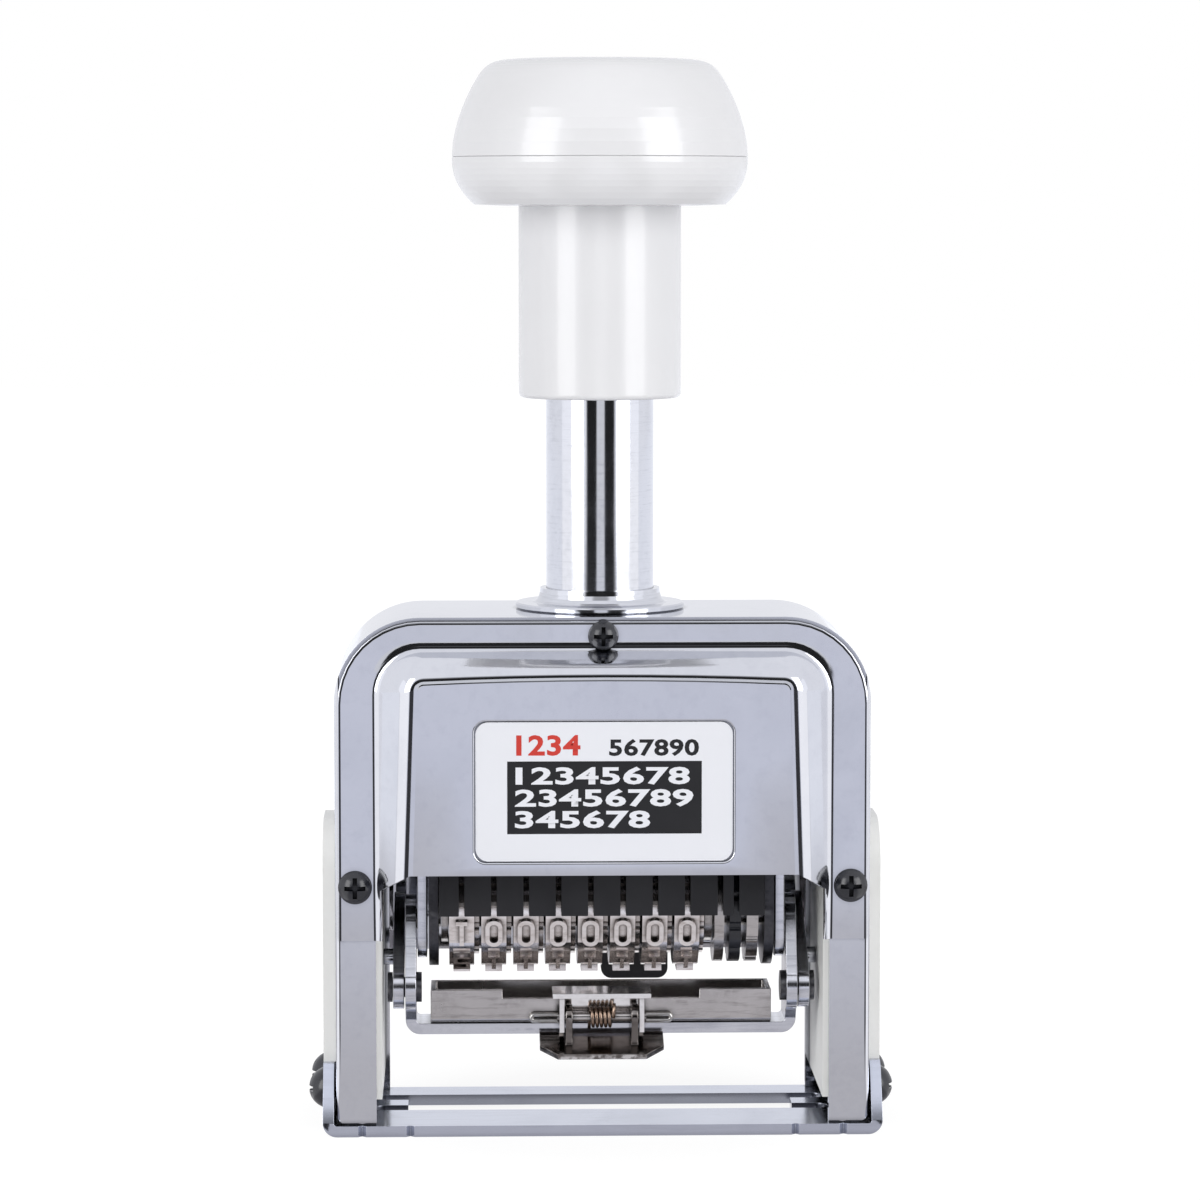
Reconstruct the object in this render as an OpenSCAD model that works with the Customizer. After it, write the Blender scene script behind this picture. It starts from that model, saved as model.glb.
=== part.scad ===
// Hand numbering machine: a plunger with eight number wheels in an upright frame.
// Origin: on the desk, under the plunger's axis. +Z up, -Y towards the user, millimetres.

/* [Base] */
// Thickness of the base plate
base_t = 1.6; // [1.2:0.1:2.2]
// Base plate reach in front of the plunger's axis
base_front = 17; // [16:0.1:20]
// Base plate reach behind the plunger's axis
base_rear = 11.5; // [11.5:0.1:14]
// Length of the printing slot
slot_l = 57; // [55:0.5:60]
// Half depth of the printing slot
slot_half_y = 5.5; // [5.4:0.1:6.5]
// Length of the pointer at each end of the slot
pointer_l = 3.4; // [2:0.1:4]
// Height of the upturned lugs
lug_h = 10; // [8:0.1:12]
// Front end of the lugs' upper edge
lug_front = 13; // [11:0.1:14]
// Rear end of the lugs' upper edge
lug_rear = 9.6; // [8:0.1:11]
// Outer bend radius of the lugs
bend_r = 2.1; // [2:0.1:3.5]
// Height of the base screws above the desk
base_screw_z = 5.4; // [5:0.1:5.8]
// Distance between the two base screws of one side
base_screw_gap = 11.5; // [10:0.1:13]
// Diameter of a base screw's head
base_head_d = 6; // [5:0.1:6.5]

/* [Frame] */
// Outer width of the frame across its legs
yoke_w = 77.6; // [76:0.1:80]
// Height of the frame's top face
yoke_top = 75.6; // [74:0.1:78]
// Sheet thickness of the frame
yoke_t = 1.6; // [1.2:0.1:2]
// Frame reach in front of the plunger's axis
yoke_front = 15.8; // [15.5:0.1:16.5]
// Frame reach behind the plunger's axis
yoke_rear = 11.5; // [11:0.1:12]
// Radius of the frame's top corners
corner_r = 12.5; // [11:0.1:14]
// Width of the frame's front flange
front_flange = 5.9; // [5.4:0.1:6.2]
// Width of the frame's rear flange
rear_flange = 7.4; // [7:0.1:7.6]
// Radius of the frame's lower corners
foot_r = 1.8; // [1.4:0.1:2.4]
// Radius of the frame's upright edges
edge_r = 0.8; // [0.8:0.1:1.6]
// Thickness of the liners inside the legs
liner_t = 1.5; // [1:0.1:2]
// Thickness of the strips outside the legs
strip_t = 1.9; // [1.2:0.1:2]
// Height of the top of the outer strips
strip_top = 45.2; // [40:0.1:50]
// Depth of the outer strips
strip_d = 20; // [12:0.5:20.5]

/* [Covers] */
// Sheet thickness of the covers
cover_t = 1.1; // [0.8:0.1:1.4]
// Depth of the covers' raised window panel
bulge_d = 4.6; // [4:0.1:5]
// Depth of the rear cover's raised part
rear_bulge_d = 3.9; // [3.6:0.1:4]
// Half width of the raised part where it leaves the cover
bulge_half_w = 33.2; // [32.8:0.1:33.6]
// Half width of the raised flat panel
panel_half_w = 27.9; // [26:0.1:30]
// Height of the lower edge of the front panel
panel_bottom = 38.2; // [36:0.1:40]
// How much lower the raised part reaches at its sides
bulge_flare = 2; // [0:0.1:2.4]
// Height of the upper edge of the front panel
panel_top = 66.8; // [64:0.1:67]
// Height of the upper end of the raised part
bulge_top = 70.4; // [69:0.1:70.8]
// Lower end of the front cover's side bands
front_band_bottom = 27.1; // [25:0.1:30]
// Lower edge of the rear cover
rear_cover_bottom = 22; // [21.5:0.1:24]
// Width of the label
label_w = 37.2; // [30:0.1:42]
// Height of the label
label_h = 20.4; // [16:0.1:24]
// Height of the label's middle above the desk
label_z = 51; // [49:0.1:52]
// Height of the lower cover screws
cover_screw_z = 36.6; // [34:0.1:40]

/* [Handle] */
// Height of the whole machine
total_h = 155.9; // [152:0.1:160]
// Widest diameter of the knob
knob_d = 43.3; // [41:0.1:46]
// Height of the knob above its parting line
knob_top_h = 14.2; // [13:0.1:16]
// Height of the knob below its parting line
knob_base_h = 6.9; // [6:0.1:8]
// Wall of the knob's shells
knob_wall = 2.2; // [1.8:0.1:2.6]
// Diameter of the neck
neck_d = 23.8; // [22:0.1:26]
// Length of the neck below the knob
neck_l = 28.2; // [27:0.1:29]

/* [Plunger] */
// Travel of the plunger
stroke = 21.6; // [20:0.1:22]
// Outer diameter of the plunger tube
tube_d = 15.8; // [14:0.1:16.6]
// Wall of the plunger tube
tube_wall = 1.4; // [1:0.1:2]
// Diameter of the collar's rim
collar_d = 24.8; // [24:0.1:26]
// Height of the collar above the frame
collar_h = 3; // [2.6:0.1:4]
// Sheet thickness of the plunger's inner frame
carriage_t = 1.4; // [1.2:0.1:1.6]

/* [Number wheels] */
// Distance between number wheels
wheel_pitch = 4.72; // [4.6:0.01:4.78]
// Width of a number wheel
wheel_w = 3.67; // [3.4:0.01:3.7]
// Distance from the axis to the raised digits
type_r = 9.85; // [9.6:0.05:9.9]
// Height of the raised digits
type_h = 0.95; // [0.6:0.05:1.1]
// Middle of the first number wheel, left of the plunger's axis
first_wheel = 20.5; // [20.4:0.1:20.6]
// Diameter of the wheel shaft
shaft_d = 3.6; // [3:0.1:4]
// Radius of the ratchets between the wheels
ratchet_r = 7.4; // [7:0.1:7.8]

/* [Ink pad] */
// Height of the underside of the pad bracket at rest
bracket_bottom = 12.9; // [12.7:0.1:13.5]
// Sheet thickness of the pad bracket and links
bracket_t = 1.6; // [1.4:0.1:1.7]
// Front edge of the pad bracket's strip
bracket_front = 5.5; // [5:0.1:6]
// Rear edge of the pad bracket's strip
bracket_rear = 2.5; // [2:0.1:2.6]
// Length of the pad tray
tray_l = 50.2; // [48:0.1:50.6]
// Height of the pad tray's walls
tray_h = 5.1; // [4.8:0.1:5.3]
// Front face of the pad tray
tray_front = 6; // [5.8:0.1:6.2]
// Rear face of the pad tray
tray_rear = 2.6; // [2.3:0.1:2.8]
// Wall of the pad tray
tray_t = 0.8; // [0.6:0.1:1]
// Width of the clip
clip_w = 14.4; // [12:0.1:17]
// Diameter of the clip's pin
clip_pin_d = 1.4; // [1:0.1:1.6]

/* [Hidden] */
$fn = 48;
eps = 0.01;

// Clearances
run_gap = 0.05;      // radial, of a turning or sliding fit
side_gap = 0.2;      // between flat faces that pass each other
thread_gap = 0.05;   // radial, of a screw in its hole
clear = 0.35;        // between parts that must miss each other

// Colours
chrome = [0.80, 0.81, 0.84];
nickel = [0.62, 0.61, 0.60];
white = [0.93, 0.94, 0.95];
nylon = [0.92, 0.91, 0.86];
black = [0.10, 0.10, 0.11];

// Frame
yoke_half = yoke_w / 2;
inner_half = yoke_half - front_flange;                  // inner edge of the front flange
rear_inner_half = yoke_half - rear_flange;              // inner edge of the rear flange
under_top = yoke_top - yoke_t;
liner_in = yoke_half - 6.7;                             // sliding face of the liners
liner_out = liner_in + liner_t;
liner_bottom = 5;
liner_top = 61;
strip_in = yoke_half + eps;
lug_in = strip_in + 0.3;
lug_out = lug_in + base_t;
screw_mid_y = -1.1;
base_screw_y = [screw_mid_y - base_screw_gap / 2, screw_mid_y + base_screw_gap / 2];
base_shank_r = 1.5;
base_head_h = 2.3;
cover_inset = 0.5;                                      // of the covers' rim from the frame's sides
cover_front_y = -yoke_front - cover_t;                  // outer face of the front cover's band
cover_rear_y = yoke_rear + cover_t;
panel_front_y = cover_front_y - bulge_d;
panel_rear_y = cover_rear_y + rear_bulge_d;
cover_half = yoke_half - cover_inset;
cover_top = yoke_top - cover_inset;
cover_shank_r = 1.2;
cover_screw_x = (inner_half + yoke_half) / 2;
top_screw_z = (yoke_top + bulge_top) / 2;
label_r = 2;
label_recess = 0.8;
label_t = 0.5;

// Handle
seam_z = total_h - knob_top_h;
knob_bottom = seam_z - knob_base_h;
neck_bottom = knob_bottom - neck_l;
knob_r = knob_d / 2;
knob_floor = 2.4;                                       // bottom wall of the knob base
neck_top = knob_bottom + knob_floor + 3;
neck_flange_r = neck_d / 2 + 2.2;
nut_h = 3.4;
spigot_h = 2.5;

// Plunger, from the wheels' axis upward
tube_r = tube_d / 2;
print_gap = 0.05;                                       // digits above the paper at full travel
wheel_z = stroke + type_r + print_gap;
crossbar_z = wheel_z + 22.5;
crossbar_t = 2;
crossbar_top = crossbar_z + crossbar_t;
bridge_z = wheel_z + 12;
bridge_t = 1.5;
plate_in = 23.9;                                        // inner face of the case plates
plate_out = plate_in + carriage_t;
arm_in = plate_out + 0.3;                               // inner face of the plunger yoke's arms
arm_out = arm_in + carriage_t;
arm_front = 6.5;
arm_rear = 5.5;
arm_bottom = wheel_z - 7.4;
case_front = 9;
case_rear = 11;
slider_w = 3.1;
slider_out = liner_in - side_gap;
slider_in = slider_out - slider_w;
slider_h = 7.2;
collar_boss_l = 5;
collar_boss_r = tube_r + 0.9;
collar_nut_w = 2 * (yoke_rear - yoke_t - side_gap);
stop_top = yoke_top - collar_boss_l - side_gap;
rod_r = 1.2;
rod_y = [-7.6, 8.6];
rod_z = wheel_z + 10;
comb_y = -type_r - clear;                               // rear face of the comb plate
comb_t = 0.8;
comb_slot = 0.8;
plug_l = 14;
bolt_r = 3;

// Number wheels
wheel_n = 8;
face_a = 36;                                            // angle from one digit to the next
face_r = type_r - type_h;                               // from the axis to a wheel's flats
vertex_r = face_r / cos(face_a / 2);
ratchet_t = 0.75;
shaft_r = shaft_d / 2;
bore_r = shaft_r + run_gap;
shown_digit = [3, 2, 2, 2, 2, 2, 2, 2];
function wheel_x(i) = -first_wheel + i * wheel_pitch;
// Discs right of the wheels, each [low x, high x]
disc_gap = 0.8;
disc_t = 1.7;
swing_t = 1.1;
swing_low = wheel_x(wheel_n - 1) + wheel_w / 2 + ratchet_t + side_gap;
swing_x = [swing_low, swing_low + swing_t];
cam_x = [swing_x[1] + side_gap, swing_x[1] + side_gap + 1.4];
dial_x = [cam_x[1] + disc_gap, cam_x[1] + disc_gap + disc_t];
index_x = [dial_x[1] + disc_gap, dial_x[1] + disc_gap + disc_t];
hub_x = [-first_wheel - 3, -first_wheel - 2];
disc_r = 8.7;

// Ink pad linkage: points are [y, z] at rest
pad_turn = 90;                                          // turn of the pad over the whole travel
pivot_a = [-2, wheel_z - 1.9];                          // pad bracket on the plunger
pivot_b = [-5.5, wheel_z - 11.5];                       // link on the pad bracket
guide_c = [0.5, wheel_z - 8];                           // fixed pin that guides the link
pivot_r = 1.5;
pin_c_r = 1.2;
rivet_r = 2.2;
rivet_h = 0.8;
bracket_in = arm_out + side_gap;
bracket_out = bracket_in + bracket_t;
bracket_bend_r = 2.2;
link_in = bracket_out + side_gap;
link_out = link_in + bracket_t;
link_r = 3.2;
eye_r = 3.6;
tray_z = bracket_bottom + bracket_t;
tray_top = tray_z + tray_h;
cut_half = 14.5;                                        // half width of the low part of its front wall
cut_d = 1.3;

function swung(v, a) = [v.x * cos(a) + v.y * sin(a), v.y * cos(a) - v.x * sin(a)];
function eye_at(s) = pivot_a - [0, s] + swung(pivot_b - pivot_a, pad_turn * s / stroke);
function reach_at(s) = norm(guide_c - eye_at(s));
function lean_at(s) = let (d = guide_c - eye_at(s)) atan2(d.x, d.y);
link_steps = [for (i = [0:12]) i * stroke / 12];
lean_rest = lean_at(0);
lean_full = lean_at(stroke);
function slip_at(s) = abs(sin(lean_at(s) - lean_rest - (lean_full - lean_rest) * s / stroke)) * reach_at(s);
reach_min = min([for (s = link_steps) reach_at(s)]);
reach_max = max([for (s = link_steps) reach_at(s)]);
slip_max = max([for (s = link_steps) slip_at(s)]);
link_slot_r = pin_c_r + slip_max + side_gap;

// Clip: bracket on the tray's front wall, lever below it
clip_half = clip_w / 2;
clip_t = 0.7;
clip_cheek = clip_half - 1.7;                           // inner face of the cheeks
clip_front = tray_front + 5;
clip_pin_y = -tray_front - 3.3;
clip_pin_z = tray_z + 1.6;
clip_top = tray_top + 0.2;
ear_t = 1;
ear_in = clip_cheek - 0.2 - ear_t;
coil_n = 5;
coil_wire_r = 0.27;
wire_r = 0.35;

// Lock button on the rear cover
lock_x = 5.8;
lock_z = 26;
lock_w = 10.2;
lock_h = 17;
lock_travel = 1.2;
lock_head_y = knob_r - 0.2;                             // outer face of the button
lock_stop_t = 1;

// ---- helpers ----

// Extrudes a profile drawn in X and Z from y0 to y1
module slab_y(y0, y1) {
    translate([0, y1, 0]) rotate([90, 0, 0]) linear_extrude(y1 - y0) children();
}

// Extrudes a profile drawn in Y and Z from x0 to x1
module slab_x(x0, x1) {
    translate([x0, 0, 0]) rotate([90, 0, 90]) linear_extrude(x1 - x0) children();
}

module both_sides() {
    children();
    mirror([1, 0, 0]) children();
}

module both_sides_2d() {
    children();
    mirror([1, 0]) children();
}

module rod_x(x0, x1, p, r) {
    translate([x0, p.x, p.y]) rotate([0, 90, 0]) cylinder(r = r, h = x1 - x0);
}

module rod_y(y0, y1, x, z, r) {
    translate([x, y1, z]) rotate([90, 0, 0]) cylinder(r = r, h = y1 - y0);
}

module box(low, high) {
    translate(low) cube(high - low);
}

// Rounded rectangle from corner to corner
module round_rect(low, high, r) {
    translate([low.x + r, low.y]) square([high.x - low.x - 2 * r, high.y - low.y]);
    translate([low.x, low.y + r]) square([high.x - low.x, high.y - low.y - 2 * r]);
    for (x = [low.x + r, high.x - r], y = [low.y + r, high.y - r]) translate([x, y]) circle(r);
}

// Slot outline from the origin along +X
module stadium(l, r) {
    circle(r);
    translate([l, 0]) circle(r);
    translate([0, -r]) square([l, 2 * r]);
}

// Arch: a rectangle with two rounded top corners
module arch(half, top, r, bottom) {
    translate([-half, bottom]) square([2 * half, top - r - bottom]);
    translate([-half + r, bottom]) square([2 * (half - r), top - bottom]);
    for (x = [r - half, half - r]) translate([x, top - r]) circle(r);
}

// Pan head with a cross recess, pointing along +Z, its seat at the origin
module pan_head(d, h) {
    dome_r = (d * d / 4 + h * h) / (2 * h);
    recess = d * 0.31;
    blade = d * 0.13;
    difference() {
        intersection() {
            cylinder(d = d, h = h);
            translate([0, 0, h - dome_r]) sphere(dome_r);
        }
        for (a = [0, 90]) rotate(a) translate([-recess, -blade / 2, h * 0.45]) cube([2 * recess, blade, h]);
    }
}

module screw(d, h, shank_r, shank_l) {
    pan_head(d, h);
    translate([0, 0, -shank_l]) cylinder(r = shank_r, h = shank_l + h * 0.3);
}

module hex_nut(across, h, hole_r) {
    difference() {
        cylinder(d = across / cos(30), h = h, $fn = 6);
        translate([0, 0, -1]) cylinder(r = hole_r, h = h + 2);
    }
}

module ring(r_out, r_in, h) {
    difference() {
        cylinder(r = r_out, h = h);
        translate([0, 0, -1]) cylinder(r = r_in, h = h + 2);
    }
}

module wire_ring(r, wire) {
    rotate_extrude() translate([r, 0]) circle(wire);
}

// ---- frame ----

module base_section() {
    half = lug_out;
    difference() {
        union() {
            translate([-half + bend_r, 0]) square([2 * (half - bend_r), base_t]);
            for (s = [-1, 1]) {
                translate([s * (half - bend_r), bend_r]) circle(bend_r);
                translate([s * half - (s + 1) / 2 * base_t, bend_r]) square([base_t, lug_h - bend_r]);
            }
        }
        for (s = [-1, 1]) {
            translate([s * (half - bend_r), bend_r]) circle(bend_r - base_t);
            translate([s * (half - bend_r) - bend_r + base_t, bend_r]) square([2 * (bend_r - base_t), bend_r]);
            translate([s * (half - bend_r) - (s + 1) / 2 * bend_r, base_t]) square([bend_r, 2 * bend_r]);
        }
    }
}

module base_flat() {
    translate([-lug_out + bend_r, -base_front]) square([2 * (lug_out - bend_r), base_front + base_rear]);
}

module base_cuts() {
    half = slot_l / 2;
    translate([-half, -slot_half_y]) square([slot_l, 2 * slot_half_y]);
    for (s = [-1, 1], t = [-1, 1]) {
        translate([s * (half + pointer_l / 2), t * slot_half_y * 0.68]) {
            square([pointer_l, slot_half_y * 0.64], center = true);
            translate([s * pointer_l / 2, 0]) circle(slot_half_y * 0.32);
        }
    }
    for (x = [half - 0.5, half + 6.5]) both_sides_2d() translate([x, -base_front]) circle(0.6, $fn = 4);
}

// Side outline of the lugs: as deep as the plate at the bend, narrower at the top
module lug_side() {
    corner = 0.9;
    polygon([
        [-base_front, -1], [-base_front, bend_r], [-lug_front - corner / 3, lug_h - corner], [-lug_front + corner, lug_h],
        [lug_rear - corner, lug_h], [lug_rear + corner / 3, lug_h - corner], [base_rear, bend_r], [base_rear, -1]
    ]);
}

module base_plate() {
    color(chrome) difference() {
        union() {
            linear_extrude(base_t) difference() {
                base_flat();
                base_cuts();
            }
            intersection() {
                slab_y(-base_front, base_rear) difference() {
                    base_section();
                    translate([-lug_out + bend_r + 1, -1]) square([2 * (lug_out - bend_r - 1), 3 * bend_r]);
                }
                slab_x(-lug_out - 1, lug_out + 1) lug_side();
            }
        }
        for (y = base_screw_y) rod_x(-lug_out - 1, lug_out + 1, [y, base_screw_z], base_shank_r + thread_gap);
    }
}

module base_screws() {
    color(black) both_sides() for (y = base_screw_y) {
        translate([lug_out, y, base_screw_z]) rotate([0, 90, 0])
            screw(base_head_d, base_head_h, base_shank_r, base_t + yoke_t + 1);
    }
}

// Plan outline of the frame with its rounded upright edges, as a tall block
module yoke_plan_block() {
    linear_extrude(yoke_top + 1) round_rect([-yoke_half, -yoke_front], [yoke_half, yoke_rear], edge_r);
}

module frame_yoke() {
    color(chrome) difference() {
        intersection() {
            slab_y(-yoke_front, yoke_rear) arch(yoke_half, yoke_top, corner_r, base_t);
            yoke_plan_block();
            slab_y(-yoke_front - 1, yoke_rear + 1) round_rect([-yoke_half, base_t], [yoke_half, 2 * yoke_top], foot_r);
        }
        slab_y(-yoke_front + yoke_t, yoke_rear - yoke_t)
            arch(yoke_half - yoke_t, under_top, corner_r - yoke_t, base_t - 1);
        slab_y(-yoke_front - 1, 0)
            arch(inner_half, yoke_top - front_flange, corner_r - front_flange, base_t - 1);
        slab_y(0, yoke_rear + 1)
            arch(rear_inner_half, yoke_top - rear_flange, corner_r - rear_flange, base_t - 1);
        translate([0, 0, under_top - 1]) cylinder(r = collar_boss_r + thread_gap, h = yoke_t + 2);
        for (y = base_screw_y) rod_x(-yoke_half - 1, yoke_half + 1, [y, base_screw_z], base_shank_r + thread_gap);
        rod_y(-yoke_front - 1, yoke_rear + 1, 0, top_screw_z, cover_shank_r + thread_gap);
        for (s = [-1, 1]) {
            rod_y(-yoke_front - 1, yoke_rear + 1, s * cover_screw_x, cover_screw_z, cover_shank_r + thread_gap);
        }
    }
}

module leg_liners() {
    color(nylon) both_sides() difference() {
        box([liner_in, -yoke_front + yoke_t, liner_bottom], [liner_out, yoke_rear - yoke_t, liner_top]);
        rod_x(liner_in - 1, liner_out + 1, guide_c, pin_c_r + thread_gap);
    }
}

module guide_pins() {
    color(nickel) both_sides() {
        rod_x(link_in + 0.2, liner_out + eps, guide_c, pin_c_r);
        rod_x(liner_out, yoke_half - yoke_t, guide_c, pin_c_r + 1.2);
    }
}

module side_strips() {
    color(nylon) both_sides() slab_x(strip_in, strip_in + strip_t)
        union() {
            translate([screw_mid_y - strip_d / 2, lug_h + eps]) square([strip_d, strip_top - strip_d / 3 - lug_h]);
            round_rect([screw_mid_y - strip_d / 2, lug_h + 1], [screw_mid_y + strip_d / 2, strip_top], strip_d / 3);
        }
}

// Raised window panel: tapers from the cover's face to the flat panel. grow < 0 gives its inside.
module bulge(face_y, panel_y, grow, bottom, low_half, flare) {
    dir = sign(panel_y - face_y);
    hull() {
        slab_y(face_y - 0.1, face_y + 0.1)
            arch(bulge_half_w + grow, bulge_top + grow, 6, bottom - flare, $fn = 32);
        slab_y(panel_y - dir * 0.4 - 0.1, panel_y - dir * 0.4 + 0.1)
            arch(low_half + 0.5 + grow, panel_top + 0.5 + grow, 4.2, bottom, $fn = 32);
        slab_y(min(panel_y, panel_y - dir * 0.1), max(panel_y, panel_y - dir * 0.1))
            arch(low_half + grow, panel_top + grow, 3.6, bottom, $fn = 32);
    }
}

module cover_plate(y0, y1, bottom, ear_in, ear_top) {
    slab_y(y0, y1) difference() {
        arch(cover_half, cover_top, corner_r - cover_inset, bottom);
        arch(bulge_half_w - cover_t, bulge_top - cover_t, 5, bottom - 1);
        translate([-ear_in, bottom - 1]) square([2 * ear_in, ear_top - bottom + 1]);
    }
}

module front_cover() {
    color(chrome) difference() {
        union() {
            cover_plate(cover_front_y, -yoke_front, front_band_bottom, bulge_half_w + 0.1, panel_bottom - bulge_flare);
            difference() {
                bulge(cover_front_y + 0.2, panel_front_y, 0, panel_bottom, panel_half_w, bulge_flare);
                bulge(cover_front_y + 0.5, panel_front_y + cover_t, -cover_t, panel_bottom - 2 * bulge_flare, panel_half_w, 0);
            }
        }
        slab_y(panel_front_y - 1, panel_front_y + label_recess)
            round_rect([-label_w / 2, label_z - label_h / 2], [label_w / 2, label_z + label_h / 2], label_r);
        for (s = [-1, 1]) {
            rod_y(cover_front_y - 1, 0, s * cover_screw_x, cover_screw_z, cover_shank_r + thread_gap);
        }
        rod_y(cover_front_y - 1, 0, 0, top_screw_z, cover_shank_r + thread_gap);
    }
}

module rear_cover() {
    color(chrome) difference() {
        union() {
            cover_plate(yoke_rear, cover_rear_y, rear_cover_bottom, bulge_half_w - cover_t, rear_cover_bottom);
            difference() {
                bulge(cover_rear_y - 0.2, panel_rear_y, 0, rear_cover_bottom, bulge_half_w - 1.7, 0);
                bulge(cover_rear_y - 0.5, panel_rear_y - cover_t, -cover_t, rear_cover_bottom - 2,
                      bulge_half_w - 1.7, 0);
            }
        }
        slab_y(0, panel_rear_y + 1)
            round_rect([lock_x - lock_w / 2 + 1.8, lock_z - 2.2], [lock_x + lock_w / 2 - 1.8, lock_z + 5.2], 0.5);
        for (s = [-1, 1]) {
            rod_y(0, cover_rear_y + 1, s * cover_screw_x, cover_screw_z, cover_shank_r + thread_gap);
        }
        rod_y(0, cover_rear_y + 1, 0, top_screw_z, cover_shank_r + thread_gap);
    }
}

module cover_screws() {
    shank_l = cover_t + yoke_t;
    color(black) for (p = [[-cover_screw_x, cover_screw_z], [cover_screw_x, cover_screw_z], [0, top_screw_z]]) {
        head_d = p.x == 0 ? 4.4 : 4.9;
        translate([p.x, cover_front_y, p.y]) rotate([90, 0, 0]) screw(head_d, 1.5, cover_shank_r, shank_l);
        translate([p.x, cover_rear_y, p.y]) rotate([-90, 0, 0]) screw(head_d, 1.5, cover_shank_r, shank_l);
    }
}

module label_plate() {
    gap = 0.15;
    color(white) slab_y(panel_front_y + label_recess - label_t, panel_front_y + label_recess)
        round_rect([gap - label_w / 2, label_z - label_h / 2 + gap],
                   [label_w / 2 - gap, label_z + label_h / 2 - gap], label_r - gap);
}

module collar() {
    rim_r = collar_d / 2;
    low_r = rim_r - 2.4;
    top_r = tube_r + 0.9;
    rim_h = 0.9;
    fillet_n = 5;
    color(chrome) translate([0, 0, yoke_top]) rotate_extrude() difference() {
        polygon(concat(
            [[0, -collar_boss_l], [collar_boss_r, -collar_boss_l], [collar_boss_r, 0], [rim_r - 0.2, 0],
             [rim_r, 0.2], [rim_r, rim_h - 0.2], [rim_r - 0.2, rim_h], [low_r, rim_h]],
            [for (k = [1:fillet_n]) let (a = 90 * k / fillet_n)
                [low_r - (low_r - top_r) * sin(a), collar_h - (collar_h - rim_h) * cos(a)]],
            [[0, collar_h]]));
        translate([-1, -collar_boss_l - 1]) square([tube_r + run_gap + 1, collar_h + collar_boss_l + 2]);
    }
}

module collar_nut() {
    color(nickel) translate([0, 0, under_top - 3]) hex_nut(collar_nut_w, 3, collar_boss_r + thread_gap);
}

hanger_y = [8.3, 9.9];
hanger_x = 20;
hole_z = yoke_top - 8.3;
tab_h = 3.8;
low_hole_z = bridge_z + bridge_t + tab_h - 1.7;
hook_r = 1.6;
hook_wire = 0.35;

module spring_tab(z0, z1, hole) {
    difference() {
        slab_y(hanger_y[0], hanger_y[1]) translate([hanger_x - 4, z0]) square([8, z1 - z0]);
        rod_y(hanger_y[0] - 1, hanger_y[1] + 1, hanger_x, hole, 1);
    }
}

module spring_hangers() {
    color(nickel) both_sides() spring_tab(hole_z - 1.8, under_top, hole_z);
}

// ---- handle ----

function knob_upper(u) = knob_r * (1 - 0.25 * pow(u, 1.83)) * pow(1 - pow(u, 20), 0.085);
function knob_lower(v) = knob_r * (1 - 0.15 * pow(v, 2.4));
knob_steps = 20;
top_profile = [for (k = [0:knob_steps]) let (u = 1 - pow(1 - k / knob_steps, 3)) [knob_upper(u), u]];

module knob_top() {
    scale_in = (knob_r - knob_wall) / knob_r;
    inner_h = knob_top_h - knob_wall;
    color(white) translate([0, 0, seam_z]) rotate_extrude() difference() {
        polygon(concat([[0, 0.04]], [[knob_r - 0.1, 0.04], [knob_r - 0.02, 0.12]],
                       [for (p = top_profile) if (p.y > 0.03) [p.x, p.y * knob_top_h]]));
        polygon(concat([[0, -1], [knob_r - knob_wall, -1]],
                       [for (p = top_profile) [p.x * scale_in, p.y * inner_h]]));
    }
}

module knob_base() {
    color(white) translate([0, 0, seam_z]) difference() {
        rotate_extrude() polygon(concat(
            [[0, 0], [knob_r - 0.1, 0], [knob_r - 0.02, -0.08]],
            [for (k = [1:8]) [knob_lower(k / 8), -knob_base_h * k / 8]],
            [[neck_d / 2 + 2, -knob_base_h - 0.2], [0, -knob_base_h - 0.2]]));
        translate([0, 0, -knob_base_h + knob_floor]) cylinder(r = knob_r - 2 * knob_wall - 0.6, h = knob_base_h);
        translate([0, 0, -knob_base_h - 1]) cylinder(r = neck_d / 2 + thread_gap, h = knob_base_h);
    }
    color(white) translate([0, 0, seam_z - eps]) ring((knob_r - knob_wall) * 0.965, knob_r - 2 * knob_wall - 0.4, spigot_h);
}

module handle_neck() {
    r = neck_d / 2;
    foot_r = 0.7;
    color(white) rotate_extrude() difference() {
        union() {
            translate([0, neck_bottom + foot_r]) square([r, neck_top - neck_bottom - foot_r]);
            translate([0, neck_bottom]) square([r - foot_r, foot_r + 1]);
            translate([r - foot_r, neck_bottom + foot_r]) circle(foot_r);
            translate([0, knob_bottom + knob_floor]) square([neck_flange_r, 1.6]);
        }
        translate([-1, neck_bottom - 1]) square([tube_r + 1, neck_top - neck_bottom + 2]);
    }
}

module handle_nut() {
    color(nickel) translate([0, 0, neck_top]) hex_nut(21, nut_h, tube_r);
}

module plunger_tube() {
    color(chrome) translate([0, 0, crossbar_top])
        ring(tube_r, tube_r - tube_wall, neck_top + nut_h + 1 - crossbar_top);
}

// ---- plunger frame ----

module tube_plug() {
    color(nickel) translate([0, 0, crossbar_top]) ring(tube_r - tube_wall, bolt_r, plug_l);
}

module yoke_bolt() {
    head_h = 3;
    color(nickel) translate([0, 0, crossbar_z - head_h]) {
        cylinder(d = 10 / cos(30), h = head_h, $fn = 6);
        cylinder(r = bolt_r, h = head_h + crossbar_t + plug_l - 2);
    }
}

module stop_sleeve() {
    color(nylon) translate([0, 0, crossbar_top]) ring(collar_boss_r, tube_r, stop_top - crossbar_top);
}

// Side outline of one arm, as [y, z]
module arm_outline() {
    round_rect([-arm_front, arm_bottom], [arm_rear, crossbar_z + 1], 3);
    translate([-arm_front, crossbar_z - 4]) square([arm_front + arm_rear, crossbar_t + 4]);
}

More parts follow.
